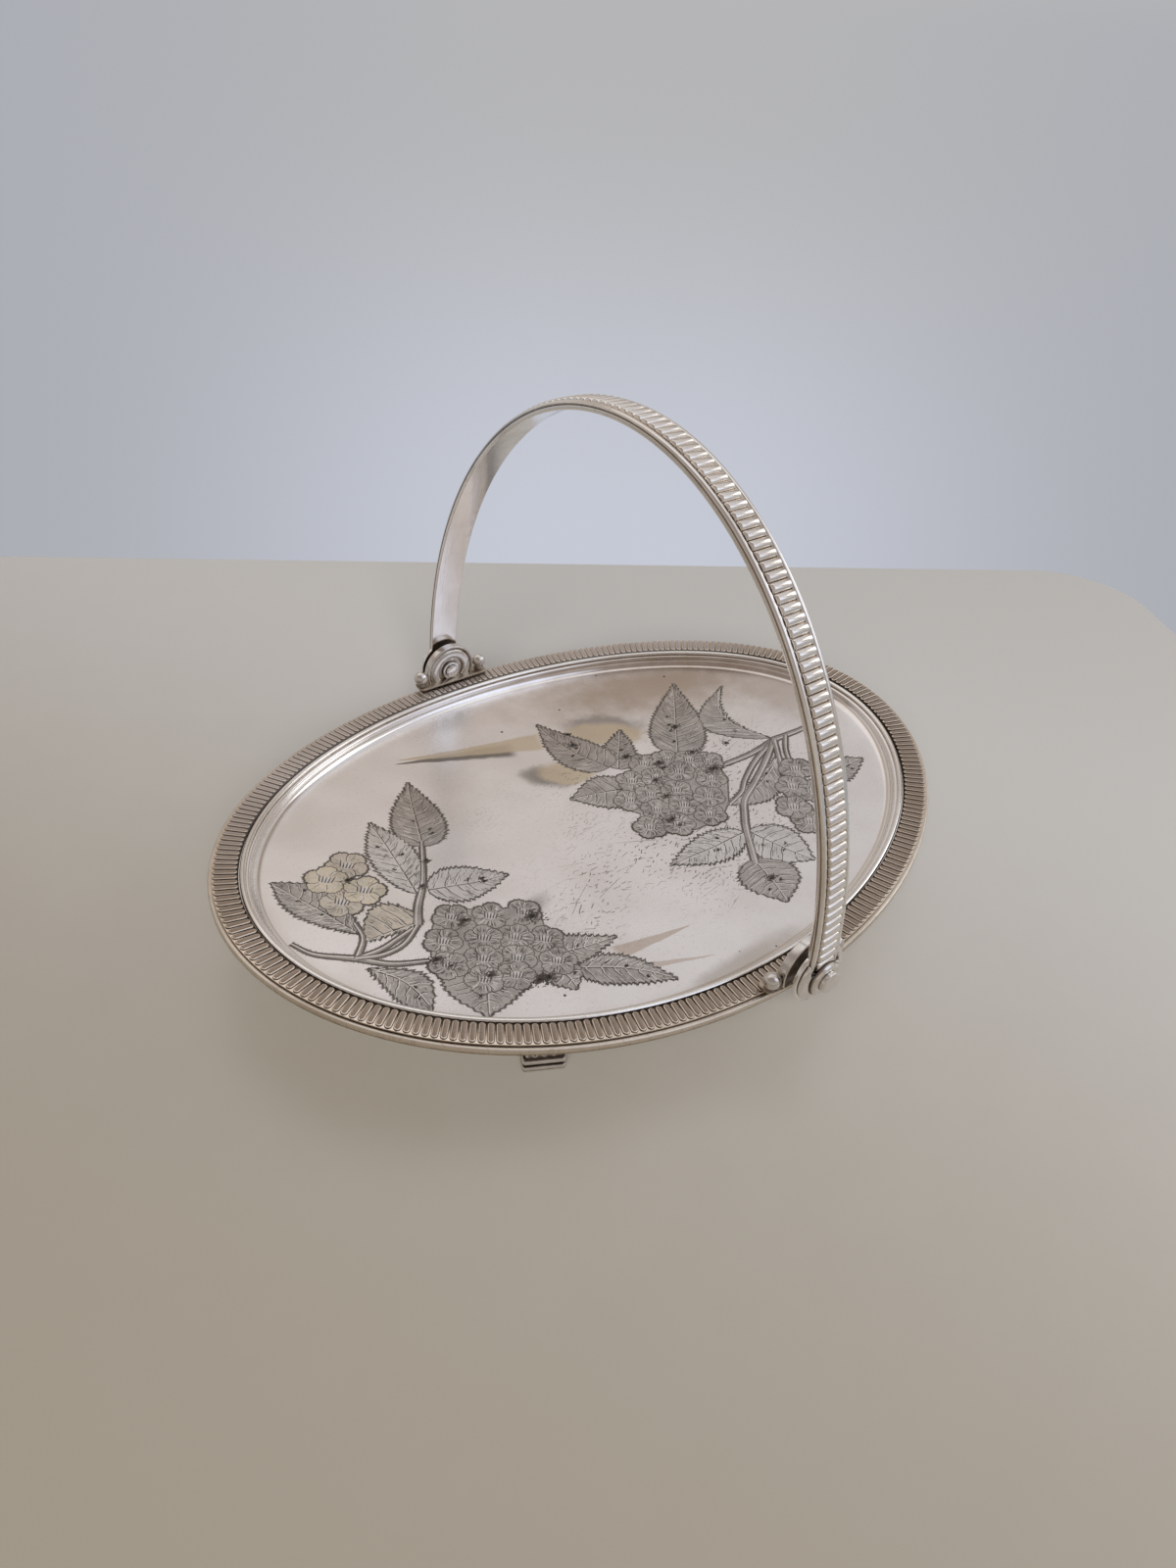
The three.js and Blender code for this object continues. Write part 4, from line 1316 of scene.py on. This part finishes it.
def leaves(art, rows):
    for row in rows:
        engraved_leaf(art, *row)


def stems(art, rows):
    for row in rows:
        engraved_stem(art, *row)


def smudges(art, rows):
    for x, y, radius in rows:
        smudge(art, (x, y), radius)


def left_spray():
    """The spray at the tray's left end: stems from the end of the oval, blossom below and leaves above."""
    art = Engraving()
    fork = (-93.5, -17.5)
    leaves(art, [
        ((-93, -22), (-86.5, -43), 5.4, 5.6, 0.12, 1.3),
        ((-88.5, -9.5), (-99.5, 20.5), 5.8, 7.9, -0.01, 1.15),
        ((-71, -13), (-89.5, -12.5), 1.4, 11.0, 0.0, 0.85, "brown"),
        ((-54.5, 14.5), (-42, 45), 7.8, 8.6, 0.01, 0.6),
        ((-67, -2.5), (-62.5, 32.5), 7.0, 6.8, -0.01, 0.88, "light"),
        ((-63.5, -3), (-40, -9), 8.0, 6.8, -0.02, 0.68, "light"),
    ])
    stems(art, [
        (0.8, 2.0, (-105.5, -4.5), (-102.5, -10.5), (-97, -15), fork),
        (1.9, 1.3, fork, (-87, -23.5), (-78, -27.5)),
        (1.6, 1.1, fork, (-88.5, -11.5), (-87.5, -5)),
        (1.6, 1.2, fork, (-86.5, -17.5), (-80.5, -16), (-75, -14.5)),
        (1.5, 1.2, fork, (-87, -19.5), (-80, -18.5), (-72, -13)),
        (2.4, 1.1, (-73.5, -14), (-69.5, -7.5), (-62.5, 1.5), (-53.6, 17)),
    ])
    blossoms(art, [(-78, 17.5, 0.3), (-86.5, 4, 0.1)], 6.2, "brown")
    blossoms(art, [(-86, 14.5, 1.0), (-79, 5.5, 0.8)], 6.2, "gold")

    leaves(art, [
        ((-46, -50), (-26, -67.5), 5.1, 6.0, 0.07, 0.66),
        ((-54.5, -39.5), (-29.5, -46), 6.4, 5.5, -0.05, 0.6),
        ((-52, -44), (-51, -56), 5.5, 5.5, 0.1, 0.8),
        ((-66.5, -37), (-76, -52), 9.6, 11.4, 0.0, 0.6),
    ])
    cluster_ground(
        art, (-59, -30), (-72, -14.5), (-66, -10.5), (-60, -12.5), (-56, -14.5), (-49.5, -18), (-41, -23.5),
        (-41, -30), (-42.5, -33.5), (-41, -39), (-45, -50), (-51, -49), (-62.5, -49), (-69, -39.5),
        (-78.5, -34), (-79.5, -26), (-76, -20))
    blossoms(art, [
        (-46, -24.5, 0.2), (-54.5, -21, 0.9), (-64, -16, 0.4), (-47, -36.5, 0.0), (-53.5, -31.5, 0.6),
        (-61, -27.5, 1.1), (-71, -23, 0.5), (-57.5, -38.5, 0.3), (-65.5, -34, 0.8), (-74.5, -31.5, 0.2),
        (-49, -45, 0.9), (-61.5, -43.5, 0.7), (-69.5, -40.5, 0.1),
    ], 5.4)
    smudges(art, [
        (-62, -19, 2.2), (-45, -27, 2.8), (-76.5, -28, 2.2), (-74.5, -32, 1.4), (-67.5, -40, 1.7),
        (-55, -48.5, 2.6), (-57.5, -48, 1.8), (-64.5, -1, 1.1), (-57.5, 8.5, 1.2), (-48, -6.5, 0.9),
        (-81, 11.5, 1.4),
    ])
    art.build("engraved_left_spray")


def right_spray():
    """The spray at the tray's right end, which hangs the other way."""
    art = Engraving()
    fork = (75, -4)
    leaves(art, [
        ((74.5, -2.5), (83, 31), 10.5, 0.8, 0.24, 0.78),
        ((69.5, -11), (37, -20), 7.6, 2.4, 0.08, 1.35),
        ((43, 10), (70, 43), 9.4, 10.0, 0.0, 0.52),
        ((20.5, 14.5), (35.5, 32), 5.8, 5.6, 0.0, 0.65),
        ((18.5, 17), (13, 51), 8.0, 8.8, 0.07, 0.55),
        ((17, 4), (-3, 10.5), 8.8, 8.2, -0.04, 0.64),
        ((32, -33), (3, -31.5), 6.8, 6.3, 0.01, 0.73, "light"),
        ((34, -33.5), (41, -55), 9.2, 8.4, -0.03, 0.8, "light"),
        ((25.5, -44), (20.5, -63), 9.8, 9.0, 0.03, 0.75),
        ((73.5, -28.5), (91.5, -30), 7.8, 5.9, 0.0, 0.58),
    ])
    stems(art, [
        (1.3, 2.3, (95, -6), (85.5, -5.5), fork),
        (2.0, 1.8, fork, (63.5, -5), (51, -4)),
        (1.8, 1.3, fork, (62, -8.5), (51.5, -14), (46, -18), (38, -20.5)),
        (2.0, 2.2, fork, (64, -11), (53, -17), (44, -21.5), (38.5, -27), (33.5, -33), (25, -45.5)),
        (1.8, 1.3, fork, (67.5, -14.5), (63, -22)),
        (1.5, 1.3, (80, -4.5), (73, -12), (66, -24)),
    ])
    blossoms(art, [(69, -20, 0.2), (65, -31.5, 0.6), (53, -41.5, 0.9), (61.5, -26, 0.1), (54, -33.5, 0.5)], 6)
    cluster_ground(
        art, (26, -6), (20, 13.5), (31, 16.5), (38, 15.5), (44, 8.5), (51.5, 6), (54, 0.5), (50, -11),
        (40.5, -21.5), (33.5, -26), (26, -26.5), (20, -26), (13.5, -23.5), (10, -19.5), (4, -18),
        (3.5, -13.5), (9, -8), (6, -2.5), (7, 1.5))
    blossoms(art, [
        (29.5, 12, 0.3), (37.5, 9.5, 0.8), (48, 0.5, 0.1), (43.5, 5, 0.4), (20, 7, 0.9), (28, 4, 0.6),
        (36.5, 2, 1.0), (42.5, -7, 0.4), (13, -0.5, 0.2), (20.5, -2, 0.7), (29, -5, 0.1), (17, -9, 0.9),
        (26, -12, 0.5), (9.5, -14.5, 0.0), (18, -18.5, 0.7), (29.5, -20.5, 0.3), (35.5, -13.5, 0.2),
    ], 5.5)
    smudges(art, [
        (33.5, 9.5, 2.4), (46.5, -3.5, 3.0), (47, 7.5, 1.8), (26.5, 18.5, 1.8), (26.5, 3, 1.6),
        (17.5, -15.5, 2.2), (17.5, -19, 1.4), (24, -5.5, 1.7), (33, 6.5, 1.4), (15.5, 34, 1.8), (18, 40, 1.2),
        (52, 22, 1.5), (24, -53, 1.6), (60, 4.5, 1.0),
    ])
    art.build("engraved_right_spray")


# Floor, light and camera

# Clockwise from the back
view_heading = math.radians(40.84)
window_way = (0.461, -0.581, 0.671)


def floor():
    """A plain pale table top, with its far and right edges where the photo shows them."""
    reach, thick, corner = 8.0, 0.03, 0.04
    far, right = 0.2105, 0.289
    edge_heading = math.radians(31.6)
    along, ahead = heading(-edge_heading), heading(math.pi / 2 - edge_heading)
    outline = arc((right - corner, far - corner), corner, 90, 0, 12)
    outline += [(right, -reach), (-reach, -reach), (-reach, far)]
    level = np.array([u * along + n * ahead for u, n in outline])
    obj = mesh_object("floor", loft([at_height(level, z) for z in (0.0, -thick)], False))
    obj.data.materials.append(floor_material())


def floor_material():
    """A lacquered top with painted light: darker and warmer near the front, lighter and greyer toward the far
    right, in place of the lamps' falloff and the wall's sheen.
    """
    material, shader, place = new_material("pale_floor")
    x, y, _ = axes(place)
    away = x * 0.81 + y * 0.49 + noise(place, 60.0, 3.0) * 0.02
    table = graded(away, -0.2, 0.15, (0.37, 0.325, 0.255), (0.7, 0.685, 0.665))
    set_inputs(shader, {"Base Color": table, "Roughness": 0.42, "IOR": 2.0})
    return material


def world():
    """A pale wall below eye level, above it a dim room with a light ceiling, and a bluish window behind."""
    made = bpy.data.worlds.new("studio")
    bpy.context.scene.world = made
    made.use_nodes = True
    tree = made.node_tree
    way = new_node(tree, "TexCoord", {})["Generated"]
    x, y, up = axes(way)
    right, ahead = along_and_across(x, y, math.cos(view_heading), -math.sin(view_heading))

    wall = graded(up, -0.4, -0.05, (0.56, 0.585, 0.665), (0.46, 0.462, 0.47))
    wall = mixed(between(abs(right), 0.05, 0.5), wall, (0.41, 0.425, 0.46))

    warm = graded(right, -0.15, 0.35, (0.46, 0.39, 0.34), (0.3, 0.235, 0.19))
    low = graded(up, 0.3, 0.45, (0.56, 0.53, 0.5), warm)
    over_base = graded(right, -0.3, 0.25, (0.86, 0.81, 0.79), (0.64, 0.63, 0.65))
    high = graded(up, 0.52, 0.66, low, over_base)
    ceiling = graded(up, 0.82, 0.88, high, (0.96, 0.96, 0.98))

    behind = graded(up, 0.1, 0.6, (0.5, 0.46, 0.43), (0.34, 0.29, 0.27))
    toward_window = new_node(tree, "VectorMath", {0: way, 1: window_way}, operation="DOT_PRODUCT")["Value"]
    behind = graded(toward_window, 0.86, 0.95, behind, (1.0, 1.07, 1.26))
    above = graded(ahead, 0.12, -0.1, ceiling, behind)
    colour = graded(up, -0.02, 0.1, wall, above)

    rays = new_node(tree, "LightPath", {})
    shown = larger(larger(rays["Is Camera Ray"], rays["Is Glossy Ray"]), rays["Is Transmission Ray"])
    set_inputs(tree.nodes["Background"], {"Color": colour, "Strength": shown * 0.75 + 0.25})


def area_light(name, place, size, power, colour, reflected=True):
    data = bpy.data.lights.new(name, "AREA")
    data.shape = "RECTANGLE"
    data.size, data.size_y = size
    data.energy = power
    data.color = colour
    obj = new_object(name, data)
    obj.location = place
    obj.rotation_mode = "QUATERNION"
    obj.rotation_quaternion = (-Vector(place)).to_track_quat("-Z", "Y")
    obj.visible_glossy = reflected


def camera():
    """The photo's viewpoint: close above the table, with a wide lens and a slight roll."""
    pitch, roll = math.radians(36.77), math.radians(4.84)
    place = Vector((-178.2, -200.4, 227.1)) * mm
    turn = Matrix.Rotation(-view_heading, 4, "Z") @ Matrix.Rotation(math.pi / 2 - pitch, 4, "X")
    data = bpy.data.cameras.new("camera")
    data.sensor_width = 36.0
    data.lens = 24.863
    data.clip_start = 0.01
    obj = new_object("camera", data)
    obj.matrix_world = Matrix.Translation(place) @ turn @ Matrix.Rotation(roll, 4, "Z")
    bpy.context.scene.camera = obj


tray_pan()
rim_edge_wire()
rim_bead_wire()
rim_reeded_band()
for across_name, across_sign in (("front", -1), ("back", 1)):
    for along_name, along_sign in (("left", -1), ("right", 1)):
        cast_foot(f"foot_{across_name}_{along_name}", (along_sign, across_sign))
        bracket_ball(f"bracket_ball_{across_name}_{along_name}")
hinge_brackets()
plain_washers("inner_washer")
plain_washers("hinge_spacer")
rivet_cones()
rivets()
rosettes()
handle_strap()
handle_mouldings()
handle_reeded_band()
left_spray()
right_spray()

floor()
world()
area_light("window", (1.5, -0.45, 0.85), size=(0.9, 0.9), power=3.5, colour=(0.9, 0.94, 1.0))
area_light("fill", (-1.35, -1.6, 1.55), size=(1.8, 1.3), power=68.0, colour=(1.0, 0.98, 0.95),
           reflected=False)
camera()
bpy.context.scene.view_settings.view_transform = "Standard"
